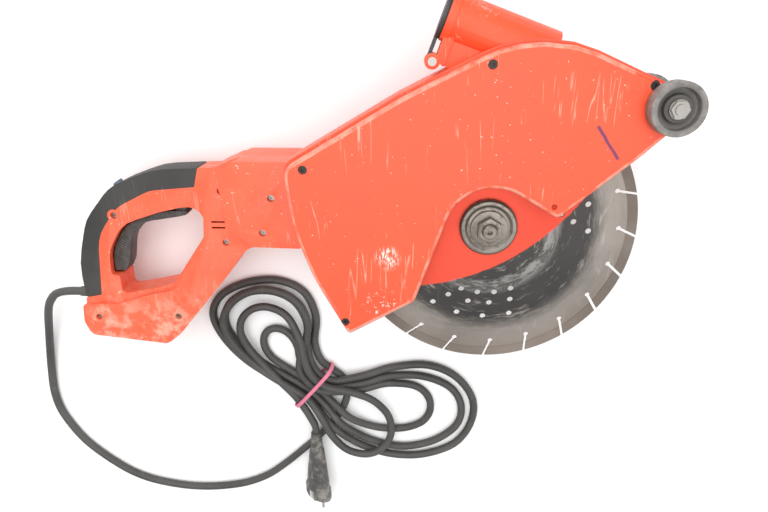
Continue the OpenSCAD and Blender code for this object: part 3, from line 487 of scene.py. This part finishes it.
def moved_in(outline, inset):
    """The outline's points drawn inwards. Where the line would cross itself in a tight corner, its points meet."""
    n = len(outline)
    area = sum(outline[i - 1].x * outline[i].y - outline[i].x * outline[i - 1].y for i in range(n))
    way = 1 if area > 0 else -1
    made = []
    for i in range(n):
        before = (outline[i] - outline[i - 1]).normalized()
        after = (outline[(i + 1) % n] - outline[i]).normalized()
        middle = (before + after).normalized()
        stretch = 1 / max(middle.dot(after), 0.85)
        made.append(Vector((outline[i].x - middle.y * way * inset * stretch,
                            outline[i].y + middle.x * way * inset * stretch, 0)))
    clear = [min(distance_to_edge(q.xy, outline[i - 1].xy, outline[i].xy) for i in range(n)) >= 0.9 * inset
             for q in made]
    for i in range(n):
        if not clear[i]:
            back = next(k for k in range(1, n) if clear[i - k])
            ahead = next(k for k in range(1, n) if clear[(i + k) % n])
            made[i] = (made[i - back] + made[(i + ahead) % n]) / 2
    return made


def lid(outline, z_low, z_high, rim_r, wall, hollow, rubbed, segments=5):
    """A lid of that outline: hollow below, with a rounded rim. Its rim attribute fades over the rubbed width."""
    profile = [(wall, z_low + hollow), (wall, z_low), (0, z_low)]
    for k in range(segments + 1):
        turn = pi / 2 * k / segments
        profile.append((rim_r * (1 - cos(turn)), z_high - rim_r * (1 - sin(turn))))
    profile.append((rim_r + rubbed, z_high))
    work = bmesh.new()
    rim = work.verts.layers.float.new("rim")
    rings = []
    for inset, z in profile:
        rings.append([work.verts.new((q.x, q.y, z)) for q in moved_in(outline, inset)])
        for v in rings[-1]:
            v[rim] = 0.0 if (inset, z) in (profile[0], profile[-1]) else 1.0
    n = len(outline)
    for lower, higher in zip(rings, rings[1:]):
        for i in range(n):
            work.faces.new((lower[i], lower[(i + 1) % n], higher[(i + 1) % n], higher[i]))
    work.faces.new(rings[0])
    work.faces.new(rings[-1])
    bmesh.ops.remove_doubles(work, verts=work.verts, dist=1e-6)
    return work


cover_low, cover_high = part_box("guard_cover")[0].z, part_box("guard_cover")[1].z
hood_screws = [(-0.188, 0.064), (-0.008, 0.164), (-0.149, -0.101), (0.140, 0.146)]
cover_outline = [p for p in outline_at("guard_cover", cover_low + 0.004)
                 if all((p.xy - Vector(screw)).length > 0.0088 for screw in hood_screws)]
print("cover outline of", len(cover_outline), "points")

# %% Cover lid
cover = lid(cover_outline, cover_low, cover_high, rim_r=0.0035, wall=0.003, hollow=0.0105, rubbed=0.0015)
bmesh.ops.triangulate(cover, faces=[f for f in cover.faces if len(f.verts) > 4])
cover_skin = to_object(cover, "hood_cover", "saw", "red_plastic", 25)

# %% Holes for the cover's screws
def cut_away(target, name, cutters):
    """Cuts round holes (x, y, radius, low, high) out of a piece and applies the cut."""
    work = bmesh.new()
    for x, y, r, z0, z1 in cutters:
        bmesh.ops.create_cone(work, cap_ends=True, cap_tris=False, segments=40, radius1=r, radius2=r,
                              depth=z1 - z0, matrix=Matrix.Translation((x, y, (z0 + z1) / 2)))
    data = bpy.data.meshes.new(name)
    work.to_mesh(data)
    work.free()
    tool = bpy.data.objects.new(name, data)
    bpy.context.scene.collection.objects.link(tool)
    cut = target.modifiers.new("holes", "BOOLEAN")
    cut.operation, cut.solver, cut.object = "DIFFERENCE", "MANIFOLD", tool
    seen = target.evaluated_get(bpy.context.evaluated_depsgraph_get())
    result = bpy.data.meshes.new_from_object(seen)
    target.modifiers.remove(cut)
    target.data = result
    bpy.data.objects.remove(tool)
    result.polygons.foreach_set("use_smooth", [True] * len(result.polygons))
    result.set_sharp_from_angle(angle=radians(30))
    return target


top = cover_high + 0.002
cut_away(cover_skin, "screw_holes", [(x, y, 0.0046, 0.157, top) for x, y in hood_screws]
         + [(0.060, 0.030, 0.0030, 0.157, top), (0.158, 0.127, 0.00505, 0.140, top)])
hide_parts("guard_cover")
print("cover has", len(cover_skin.data.polygons), "faces")

# %% [markdown]
# ## Arrow on the cover
# A curved arrow stands up from the lid and shows which way the blade turns. It is a short arc round the
# spindle: one edge is spun round the axis for the shaft, and the head is a triangle, and the flat shape
# is then given its height.

# %% Raised arrow
arrow = bmesh.new()
arrow_z = cover_high - 0.0003
arrow_start = radians(112)
shaft = [arrow.verts.new((r * cos(arrow_start), r * sin(arrow_start), arrow_z)) for r in (0.0655, 0.0705)]
edge = arrow.edges.new(shaft)
bmesh.ops.spin(arrow, geom=[edge, *shaft], cent=(0, 0, 0), axis=(0, 0, 1), angle=radians(38), steps=16)
tip = [arrow.verts.new((r * cos(radians(a)), r * sin(radians(a)), arrow_z))
       for r, a in ((0.0620, 149.9), (0.0740, 149.9), (0.0680, 158))]
arrow.faces.new(tip)
bmesh.ops.recalc_face_normals(arrow, faces=arrow.faces)
bmesh.ops.solidify(arrow, geom=arrow.faces[:], thickness=0.0011)
arrow_skin = to_object(arrow, "turning_arrow", "saw", "red_plastic")
ease = arrow_skin.modifiers.new("soft edge", "BEVEL")
ease.width, ease.segments, ease.limit_method = 0.0003, 2, "ANGLE"
print("arrow", [round(v, 4) for v in arrow_skin.dimensions])

# %% [markdown]
# ## Softened edges
# The handle shells, the grip and the inner hood half are right in the frame, but their edges are sharp as
# a drawing's. A copy of each is merged, its flat triangles are joined, and a Bevel modifier rounds what is
# left, which is how a mould leaves them.

# %% Soften helper
def softened(name, width, slot, body="saw", limit=38, segments=3):
    """A copy of a CAD node with rounded edges, in its place."""
    work = bmesh.new()
    work.from_mesh(nodes[name].data)
    bmesh.ops.remove_doubles(work, verts=work.verts, dist=1e-5)
    bmesh.ops.dissolve_limit(work, angle_limit=radians(1.5), verts=work.verts, edges=work.edges)
    data = bpy.data.meshes.new(name + "_soft")
    work.to_mesh(data)
    work.free()
    data.polygons.foreach_set("use_smooth", [True] * len(data.polygons))
    made = bpy.data.objects.new(name + "_soft", data)
    bpy.context.scene.collection.objects.link(made)
    rounding = made.modifiers.new("rounding", "BEVEL")
    rounding.width, rounding.segments = width, segments
    rounding.limit_method, rounding.angle_limit = "ANGLE", radians(limit)
    rounding.harden_normals = True
    rounding.use_clamp_overlap = True
    rounding.miter_outer = "MITER_ARC"
    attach(made, body)
    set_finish(made, slot)
    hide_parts(name)
    return made


softened("handle_left", 0.0022, "faded_red_plastic")
softened("handle_right", 0.0022, "faded_red_plastic")
softened("guard_shell", 0.0015, "red_plastic")
softened("grip_overmould", 0.005, "grip_rubber", segments=5)
softened("trigger", 0.0035, "trigger_plastic", body="trigger_lever", segments=4)
softened("roller_left", 0.0012, "roller_plastic", body="left_roller")
softened("roller_right", 0.0012, "roller_plastic", body="right_roller")
nut_soft = softened("flange_nut", 0.0006, "steel", body="blade_unit")
flange_soft = softened("outer_flange", 0.0005, "steel", body="blade_unit", limit=30)
softened("port_cap", 0.0006, "cap_plastic", body="port_flap")

# %% [markdown]
# ## The hood's finish
# The hood is orange-red and long in use. Its rim is rubbed pale, grey dust sits in
# its lower corner, long thin scratches cross its face, and a patch near the rear has been scuffed to
# white. A stroke of purple marker is left near the front.

# %% Hood finish
def hood_wear(tree, where, tint, roughness):
    """Scuff patch, chips, rubbed rim and marker stroke over the hood's colour."""
    streaks = node(tree, "ShaderNodeMapping", {"Vector": where, "Rotation": (0, 0, radians(-20)),
                                               "Scale": (1, 0.25, 1)}).outputs["Vector"]
    broken = ramp(tree, speckle(tree, streaks, 700.0, 4.0, 0.7), 0.48, 0.58)
    scuff = math(tree, "MULTIPLY", spot(tree, where, -0.104, -0.027, 0.006, 0.010), broken)
    chips = math(tree, "MULTIPLY", spot(tree, where, -0.109, -0.080, 0.004, 0.022),
                 ramp(tree, speckle(tree, where, 240.0, 3.0, 0.7), 0.60, 0.64))
    pale = math(tree, "MAXIMUM", scuff, chips)
    flecks = ramp(tree, speckle(tree, where, 330.0, 2.0, 0.5), 0.73, 0.76)
    pale = math(tree, "MAXIMUM", pale, math(tree, "MULTIPLY", flecks, 0.7))
    tint = mix_colour(tree, pale, tint, (0.86, 0.72, 0.64, 1))
    rim_wear = node(tree, "ShaderNodeAttribute", attribute_name="rim").outputs["Fac"]
    rubbed = ramp(tree, math(tree, "ADD", math(tree, "MULTIPLY", rim_wear, 0.42),
                             math(tree, "MULTIPLY", speckle(tree, where, 60.0, 6.0, 0.7), 0.75)), 0.64, 0.90)
    rubbed = math(tree, "MULTIPLY", rubbed, ramp(tree, rim_wear, 0.2, 0.9))
    tint = mix_colour(tree, math(tree, "MULTIPLY", rubbed, 0.72), tint, (0.80, 0.38, 0.28, 1))
    lower = node(tree, "ShaderNodeSeparateXYZ", {0: where}).outputs
    corner = math(tree, "MULTIPLY", ramp(tree, lower["Y"], -0.04, -0.13), rim_wear)
    tint = mix_colour(tree, math(tree, "MULTIPLY", corner, 0.55), tint, (0.48, 0.36, 0.31, 1))
    turned = node(tree, "ShaderNodeMapping", {"Vector": where, "Location": (0.0145, -0.139, 0),
                  "Rotation": (0, 0, radians(54)), "Scale": (1, 1, 1)}).outputs["Vector"]
    along = node(tree, "ShaderNodeSeparateXYZ", {0: turned}).outputs
    across = math(tree, "ABSOLUTE", math(tree, "ADD", along["Y"],
                  math(tree, "MULTIPLY", math(tree, "SUBTRACT", speckle(tree, where, 40.0), 0.5), 0.004)))
    stroke = math(tree, "MULTIPLY", ramp(tree, across, 0.0010, 0.0022, 1.0, 0.0),
                  ramp(tree, math(tree, "ABSOLUTE", along["X"]), 0.018, 0.021, 1.0, 0.0))
    tint = mix_colour(tree, math(tree, "MULTIPLY", stroke, 0.85), tint, (0.05, 0.015, 0.09, 1))
    return tint, math(tree, "ADD", roughness, math(tree, "MULTIPLY", pale, 0.2))


orange_red = (0.86, 0.078, 0.022)
faded_red = (0.80, 0.120, 0.052)
pale_dust = (0.62, 0.47, 0.40)
hood_paint = finish("hood_plastic", orange_red, 0.42, dust=0.22, dust_colour=(0.72, 0.20, 0.12), dust_scale=16.0,
                    scratch=0.65, scratch_colour=(0.93, 0.45, 0.33), grain=500.0, bump=0.10, patchy=0.07,
                    extra=hood_wear)
shell_paint = finish("shell_plastic", orange_red, 0.45, dust=0.35, dust_colour=pale_dust, dust_scale=22.0,
                     scratch=0.5, scratch_colour=(0.9, 0.5, 0.4), grain=500.0, bump=0.12)

# %% [markdown]
# ## The handle's finish
# The handle has faded to a salmon red and carries cement dust, thickest low on its foot, where the saw is
# put down. The dust follows the height down the handle, broken up by the same clouds.

# %% Handle finish
def foot_dust(tree, where, tint, roughness):
    """Pale dust that gathers towards the handle's foot, pale flecks, and patches of deeper red."""
    place = node(tree, "ShaderNodeSeparateXYZ", {0: where}).outputs
    low_down = ramp(tree, place["Y"], -0.085, -0.165)
    clouds = ramp(tree, speckle(tree, where, 55.0, 6.0, 0.7), 0.42, 0.62)
    heavy = math(tree, "MULTIPLY", low_down, clouds)
    tint = mix_colour(tree, math(tree, "MULTIPLY", heavy, 0.6), tint, (0.70, 0.50, 0.38, 1))
    flecks = ramp(tree, speckle(tree, where, 260.0, 2.0, 0.5), 0.70, 0.73)
    tint = mix_colour(tree, math(tree, "MULTIPLY", flecks, 0.6), tint, (0.85, 0.62, 0.48, 1))
    glow = ramp(tree, speckle(tree, where, 22.0, 3.0, 0.5), 0.5, 0.7)
    tint = mix_colour(tree, math(tree, "MULTIPLY", glow, 0.35), tint, (0.78, 0.085, 0.025, 1))
    return tint, math(tree, "ADD", roughness, math(tree, "MULTIPLY", heavy, 0.2))


handle_paint = finish("handle_plastic", faded_red, 0.42, dust=0.2, dust_colour=(0.76, 0.34, 0.24), dust_scale=26.0,
                      scratch=0.25, scratch_colour=(0.9, 0.55, 0.42), grain=1400.0, bump=0.16, patchy=0.08,
                      extra=foot_dust)
grip_paint = finish("grip_rubber", (0.034, 0.033, 0.031), 0.62, dust=0.30, dust_colour=(0.115, 0.108, 0.098),
                    dust_scale=36.0, grain=2200.0, bump=0.35, patchy=0.2, scratch=0.15,
                    scratch_colour=(0.25, 0.24, 0.22))


def trigger_ribs(tree, where, tint, roughness):
    """Fine ribs along the trigger, with dust in the grooves and rubbed backs."""
    away = node(tree, "ShaderNodeVectorMath", {0: where, 1: (-0.352, -0.100, 0)}, operation="SUBTRACT").outputs[0]
    place = node(tree, "ShaderNodeSeparateXYZ", {0: away}).outputs
    turn = math(tree, "ARCTAN2", place["Y"], place["X"])
    wave = math(tree, "SINE", math(tree, "MULTIPLY", turn, 190.0))
    groove = ramp(tree, wave, -0.3, 0.7)
    broken = ramp(tree, speckle(tree, where, 120.0, 4.0, 0.7), 0.35, 0.65)
    tint = mix_colour(tree, math(tree, "MULTIPLY", math(tree, "MULTIPLY", groove, broken), 0.6), tint,
                      (0.15, 0.138, 0.122, 1))
    return tint, roughness


trigger_paint = finish("trigger_plastic", (0.034, 0.031, 0.028), 0.5, dust=0.3, dust_colour=(0.12, 0.11, 0.098),
                       dust_scale=50.0, grain=1500.0, bump=0.3, patchy=0.2, extra=trigger_ribs)

# %% [markdown]
# ## The blade's finish
# The blade is a steel disc. Round its hub it is printed red, to a curved edge; beyond that
# the print has worn to black smears, then comes a ring of brown steel, and the segments at the rim are
# coarse and dark. All of that depends on the distance from the spindle, so the finish works it out.

# %% Blade finish
def blade_print(tree, where, tint, roughness):
    """Red print inside a wide arc, black smears outside it, and rings left by turning."""
    place = node(tree, "ShaderNodeSeparateXYZ", {0: where}).outputs
    flat_place = node(tree, "ShaderNodeVectorMath", {0: where, 1: (1, 1, 0)}, operation="MULTIPLY").outputs[0]
    far = node(tree, "ShaderNodeVectorMath", {0: flat_place}, operation="LENGTH").outputs["Value"]
    turn = math(tree, "ARCTAN2", place["Y"], place["X"])
    round_place = node(tree, "ShaderNodeCombineXYZ", {0: math(tree, "MULTIPLY", far, 60.0),
                       1: math(tree, "MULTIPLY", math(tree, "SINE", turn), 1.2),
                       2: math(tree, "MULTIPLY", math(tree, "COSINE", turn), 1.2)}).outputs[0]
    rings = speckle(tree, round_place, 3.0, 8.0, 0.7)
    smear = math(tree, "ADD", far, math(tree, "MULTIPLY", math(tree, "SUBTRACT", rings, 0.5), 0.030))
    black = math(tree, "MULTIPLY", ramp(tree, smear, 0.104, 0.124, 1.0, 0.0), ramp(tree, rings, 0.30, 0.46))
    steel_ring = ramp(tree, far, 0.126, 0.150)
    tint = mix_colour(tree, math(tree, "MULTIPLY", ramp(tree, rings, 0.44, 0.62), 0.5), tint, (0.30, 0.27, 0.24, 1))
    tint = mix_colour(tree, math(tree, "MULTIPLY", steel_ring, 0.45), tint, (0.25, 0.19, 0.15, 1))
    tint = mix_colour(tree, math(tree, "MULTIPLY", black, 0.88), tint, (0.025, 0.025, 0.026, 1))
    pale_ring = math(tree, "MULTIPLY", ramp(tree, math(tree, "ABSOLUTE", math(tree, "SUBTRACT", smear, 0.070)),
                     0.002, 0.010, 1.0, 0.0), ramp(tree, rings, 0.40, 0.58))
    tint = mix_colour(tree, math(tree, "MULTIPLY", pale_ring, 0.55), tint, (0.42, 0.41, 0.39, 1))
    from_arc = node(tree, "ShaderNodeVectorMath", {0: flat_place, 1: (-0.097, 0.162, 0)},
                    operation="SUBTRACT").outputs[0]
    arc_far = node(tree, "ShaderNodeVectorMath", {0: from_arc}, operation="LENGTH").outputs["Value"]
    ragged = math(tree, "ADD", arc_far, math(tree, "MULTIPLY", math(tree, "SUBTRACT",
                  speckle(tree, where, 90.0, 5.0, 0.7), 0.5), 0.004))
    red = math(tree, "MULTIPLY", ramp(tree, ragged, 0.2315, 0.2335, 1.0, 0.0),
               ramp(tree, far, 0.108, 0.112, 1.0, 0.0))
    rubbed = ramp(tree, speckle(tree, where, 75.0, 6.0, 0.7), 0.66, 0.76)
    red = math(tree, "MULTIPLY", red, math(tree, "SUBTRACT", 1.0, math(tree, "MULTIPLY", rubbed, 0.6)))
    tint = mix_colour(tree, red, tint, (0.72, 0.085, 0.050, 1))
    return tint, math(tree, "ADD", roughness, math(tree, "MULTIPLY", red, 0.15))


blade_paint = finish("blade_steel", (0.27, 0.243, 0.218), 0.38, metal=0.75, dust=0.15,
                     dust_colour=(0.30, 0.26, 0.22), scratch=0.5, scratch_colour=(0.45, 0.42, 0.38), grain=700.0, bump=0.2, patchy=0.15,
                     extra=blade_print)
segment_paint = finish("sintered_segments", (0.20, 0.165, 0.14), 0.6, metal=0.45, dust=0.35,
                       dust_colour=(0.34, 0.28, 0.23), dust_scale=60.0, grain=1800.0, bump=0.8, patchy=0.25)

# %% [markdown]
# ## The other finishes
# Turned steel, cast metal, copper, rubber and dark plastic cover the rest. The steel of the flange and
# its nut is dull and stained by slurry, the rollers are grey and darker towards the axle, and what is shut inside is
# clean.

# %% Finishes by material slot
def turned(tree, where, tint, roughness):
    """Rings round the spindle and dark slurry between them."""
    flat_place = node(tree, "ShaderNodeVectorMath", {0: where, 1: (1, 1, 0)}, operation="MULTIPLY").outputs[0]
    far = node(tree, "ShaderNodeVectorMath", {0: flat_place}, operation="LENGTH").outputs["Value"]
    wave = math(tree, "SINE", math(tree, "MULTIPLY", far, 5200.0))
    tint = mix_colour(tree, ramp(tree, wave, 0.2, 1.0, 0.0, 0.35), tint, (0.16, 0.14, 0.12, 1))
    dirt = ramp(tree, speckle(tree, where, 140.0, 6.0, 0.7), 0.50, 0.66)
    return mix_colour(tree, math(tree, "MULTIPLY", dirt, 0.7), tint, (0.12, 0.105, 0.09, 1)), \
        math(tree, "ADD", roughness, math(tree, "MULTIPLY", dirt, 0.25))


def roller_hub_and_cement(tree, where, tint, roughness):
    """Darker towards the axle, and pale cement on the rim."""
    away = node(tree, "ShaderNodeVectorMath", {0: where, 1: (0.158, 0.127, 0)}, operation="SUBTRACT").outputs[0]
    flat_away = node(tree, "ShaderNodeVectorMath", {0: away, 1: (1, 1, 0)}, operation="MULTIPLY").outputs[0]
    far = node(tree, "ShaderNodeVectorMath", {0: flat_away}, operation="LENGTH").outputs["Value"]
    # the roller turns near black towards its axle: a smooth dark disc round the hub, without noise
    hub = ramp(tree, far, 0.013, 0.019, 1.0, 0.0)
    tint = mix_colour(tree, math(tree, "MULTIPLY", hub, 0.8), tint, (0.05, 0.045, 0.04, 1))
    cement = math(tree, "MULTIPLY", ramp(tree, far, 0.019, 0.024),
                  ramp(tree, speckle(tree, where, 150.0, 6.0, 0.7), 0.4, 0.6))
    return mix_colour(tree, math(tree, "MULTIPLY", cement, 0.45), tint, (0.36, 0.34, 0.31, 1)), roughness


steel = finish("machined_steel", (0.34, 0.32, 0.295), 0.38, metal=0.9, dust=0.25, dust_colour=(0.22, 0.19, 0.16),
               scratch=0.3, scratch_colour=(0.7, 0.68, 0.64), grain=900.0, bump=0.2)
flange_steel = finish("flange_steel", (0.26, 0.235, 0.205), 0.42, metal=0.85, dust=0.25,
                      dust_colour=(0.20, 0.17, 0.14), dust_scale=80.0, grain=1500.0, bump=0.3, extra=turned)
dark_steel = finish("blackened_steel", (0.055, 0.05, 0.046), 0.5, metal=0.6, dust=0.3,
                    dust_colour=(0.16, 0.12, 0.10), dust_scale=90.0, grain=1200.0, bump=0.3)
cord_paint = finish("cord_rubber", (0.060, 0.058, 0.054), 0.58, dust=0.42, dust_colour=(0.145, 0.138, 0.125),
                    dust_scale=45.0, grain=1500.0, bump=0.3, patchy=0.25)
plug_paint = finish("plug_rubber", (0.070, 0.067, 0.063), 0.6, dust=0.62, dust_colour=(0.34, 0.32, 0.29),
                    dust_scale=70.0, grain=1500.0, bump=0.35, patchy=0.3)
tie_paint = finish("band_rubber", (0.72, 0.19, 0.29), 0.55, dust=0.3, dust_colour=(0.6, 0.35, 0.38),
                   dust_scale=90.0, grain=1200.0, bump=0.2)
roller_paint = finish("roller_plastic", (0.175, 0.163, 0.150), 0.6, dust=0.45, dust_colour=(0.33, 0.31, 0.28),
                      dust_scale=60.0, grain=1200.0, bump=0.5, patchy=0.25, extra=roller_hub_and_cement)
pin_steel = finish("plated_pins", (0.62, 0.60, 0.57), 0.3, metal=0.95, dust=0.15, scratch=0.3,
                   dust_colour=(0.3, 0.27, 0.24), grain=1200.0, bump=0.1)
by_slot = {
    "cast_alloy": finish("cast_alloy", (0.50, 0.50, 0.49), 0.5, metal=0.8, dust=0.3, grain=1400.0, bump=0.6),
    "steel": steel,
    "spring_steel": finish("spring_wire", (0.62, 0.61, 0.59), 0.25, metal=0.95, dust=0.05, grain=1500.0, bump=0.1),
    "blade_steel": blade_paint,
    "diamond_matrix": segment_paint,
    "red_plastic": shell_paint,
    "faded_red_plastic": handle_paint,
    "dark_red_plastic": finish("dark_red_plastic", (0.17, 0.022, 0.018), 0.5, dust=0.3, scratch=0.2,
                               scratch_colour=(0.3, 0.1, 0.08), dust_colour=(0.25, 0.14, 0.12), grain=900.0),
    "laminations": finish("stacked_sheet", (0.20, 0.21, 0.23), 0.45, metal=0.8, dust=0.1, grain=2500.0, bump=0.5),
    "copper": finish("lacquered_copper", (0.55, 0.20, 0.07), 0.3, metal=0.85, dust=0.05, grain=1800.0, bump=0.3),
    "brass_part": finish("turned_brass", (0.60, 0.42, 0.16), 0.3, metal=0.9, dust=0.1, grain=900.0),
    "black_plastic": finish("black_plastic", (0.035, 0.035, 0.036), 0.5, dust=0.25, grain=1300.0, bump=0.3,
                            dust_colour=(0.15, 0.145, 0.135)),
    "board_potting": finish("potted_board", (0.025, 0.075, 0.04), 0.35, dust=0.1, grain=500.0),
    "carbon": finish("carbon", (0.03, 0.03, 0.03), 0.7, dust=0.1, grain=2500.0, bump=0.5),
    "roller_plastic": roller_paint,
    "grip_rubber": grip_paint,
    "trigger_plastic": trigger_paint,
    "button_plastic": finish("button_plastic", (0.10, 0.13, 0.19), 0.45, dust=0.25, grain=900.0,
                             dust_colour=(0.25, 0.26, 0.28)),
    "seal_rubber": finish("seal_rubber", (0.03, 0.03, 0.03), 0.65, dust=0.2, grain=1200.0),
    "cap_plastic": finish("cap_plastic", (0.035, 0.035, 0.036), 0.45, dust=0.3, grain=1200.0, bump=0.3,
                          scratch=0.3, scratch_colour=(0.3, 0.3, 0.3), dust_colour=(0.22, 0.21, 0.20)),
    "cord_rubber": cord_paint,
    "tie_rubber": tie_paint,
}


def wear_finish(piece, material):
    piece.data.materials.clear()
    piece.data.materials.append(material)


slot_of = {s["node"]: s["material_slot"] for s in frame["record"]["subparts"]}
for name, piece in nodes.items():
    wear_finish(piece, by_slot[slot_of[name]])
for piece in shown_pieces():
    if piece.name not in nodes and "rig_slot" in piece:
        wear_finish(piece, by_slot[piece["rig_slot"]])
for piece, material in ((cover_skin, hood_paint), (arrow_skin, hood_paint), (plug_skin, plug_paint),
                        (pin_pair, pin_steel), (earth_clips, pin_steel), (flange_soft, flange_steel),
                        (nut_soft, flange_steel), (nodes["spindle"], flange_steel),
                        (nodes["guard_screws"], dark_steel)):
    wear_finish(piece, material)
print("finishes:", len(bpy.data.materials))

# %% [markdown]
# ## Floor and light
# The floor is a plain pale sheet that runs out of view. A broad soft lamp overhead and two side lamps
# light the saw evenly, and the sky colour fills the shadows.

# %% Stage
floor_work = bmesh.new()
bmesh.ops.create_grid(floor_work, x_segments=2, y_segments=2, size=4.0)
floor_data = bpy.data.meshes.new("floor")
floor_work.to_mesh(floor_data)
floor_work.free()
floor = bpy.data.objects.new("floor", floor_data)
bpy.context.scene.collection.objects.link(floor)
floor.location.z = -0.0005
pale = bpy.data.materials.new("pale_floor")
pale.use_nodes = True
pale.node_tree.nodes["Principled BSDF"].inputs["Base Color"].default_value = (0.95, 0.95, 0.95, 1)
pale.node_tree.nodes["Principled BSDF"].inputs["Roughness"].default_value = 0.9
floor.data.materials.append(pale)


def lamp(name, place, size, power):
    """A square soft lamp that faces the saw."""
    data = bpy.data.lights.new(name, "AREA")
    data.size, data.energy = size, power
    made = bpy.data.objects.new(name, data)
    bpy.context.scene.collection.objects.link(made)
    made.location = place
    made.rotation_euler = (Vector((-0.15, -0.1, 0.05)) - Vector(place)).to_track_quat("-Z", "Y").to_euler()
    return made


lamp("overhead", (-0.2, 0.3, 2.2), 2.4, 40)
lamp("top_side", (-0.6, 1.7, 1.3), 1.4, 19)
lamp("front_side", (1.6, -0.6, 1.2), 1.2, 9)
sky = bpy.data.worlds.new("studio")
sky.use_nodes = True
sky.node_tree.nodes["Background"].inputs["Color"].default_value = (1, 1, 1, 1)
sky.node_tree.nodes["Background"].inputs["Strength"].default_value = 0.58
bpy.context.scene.world = sky
bpy.context.scene.view_settings.view_transform = "Standard"
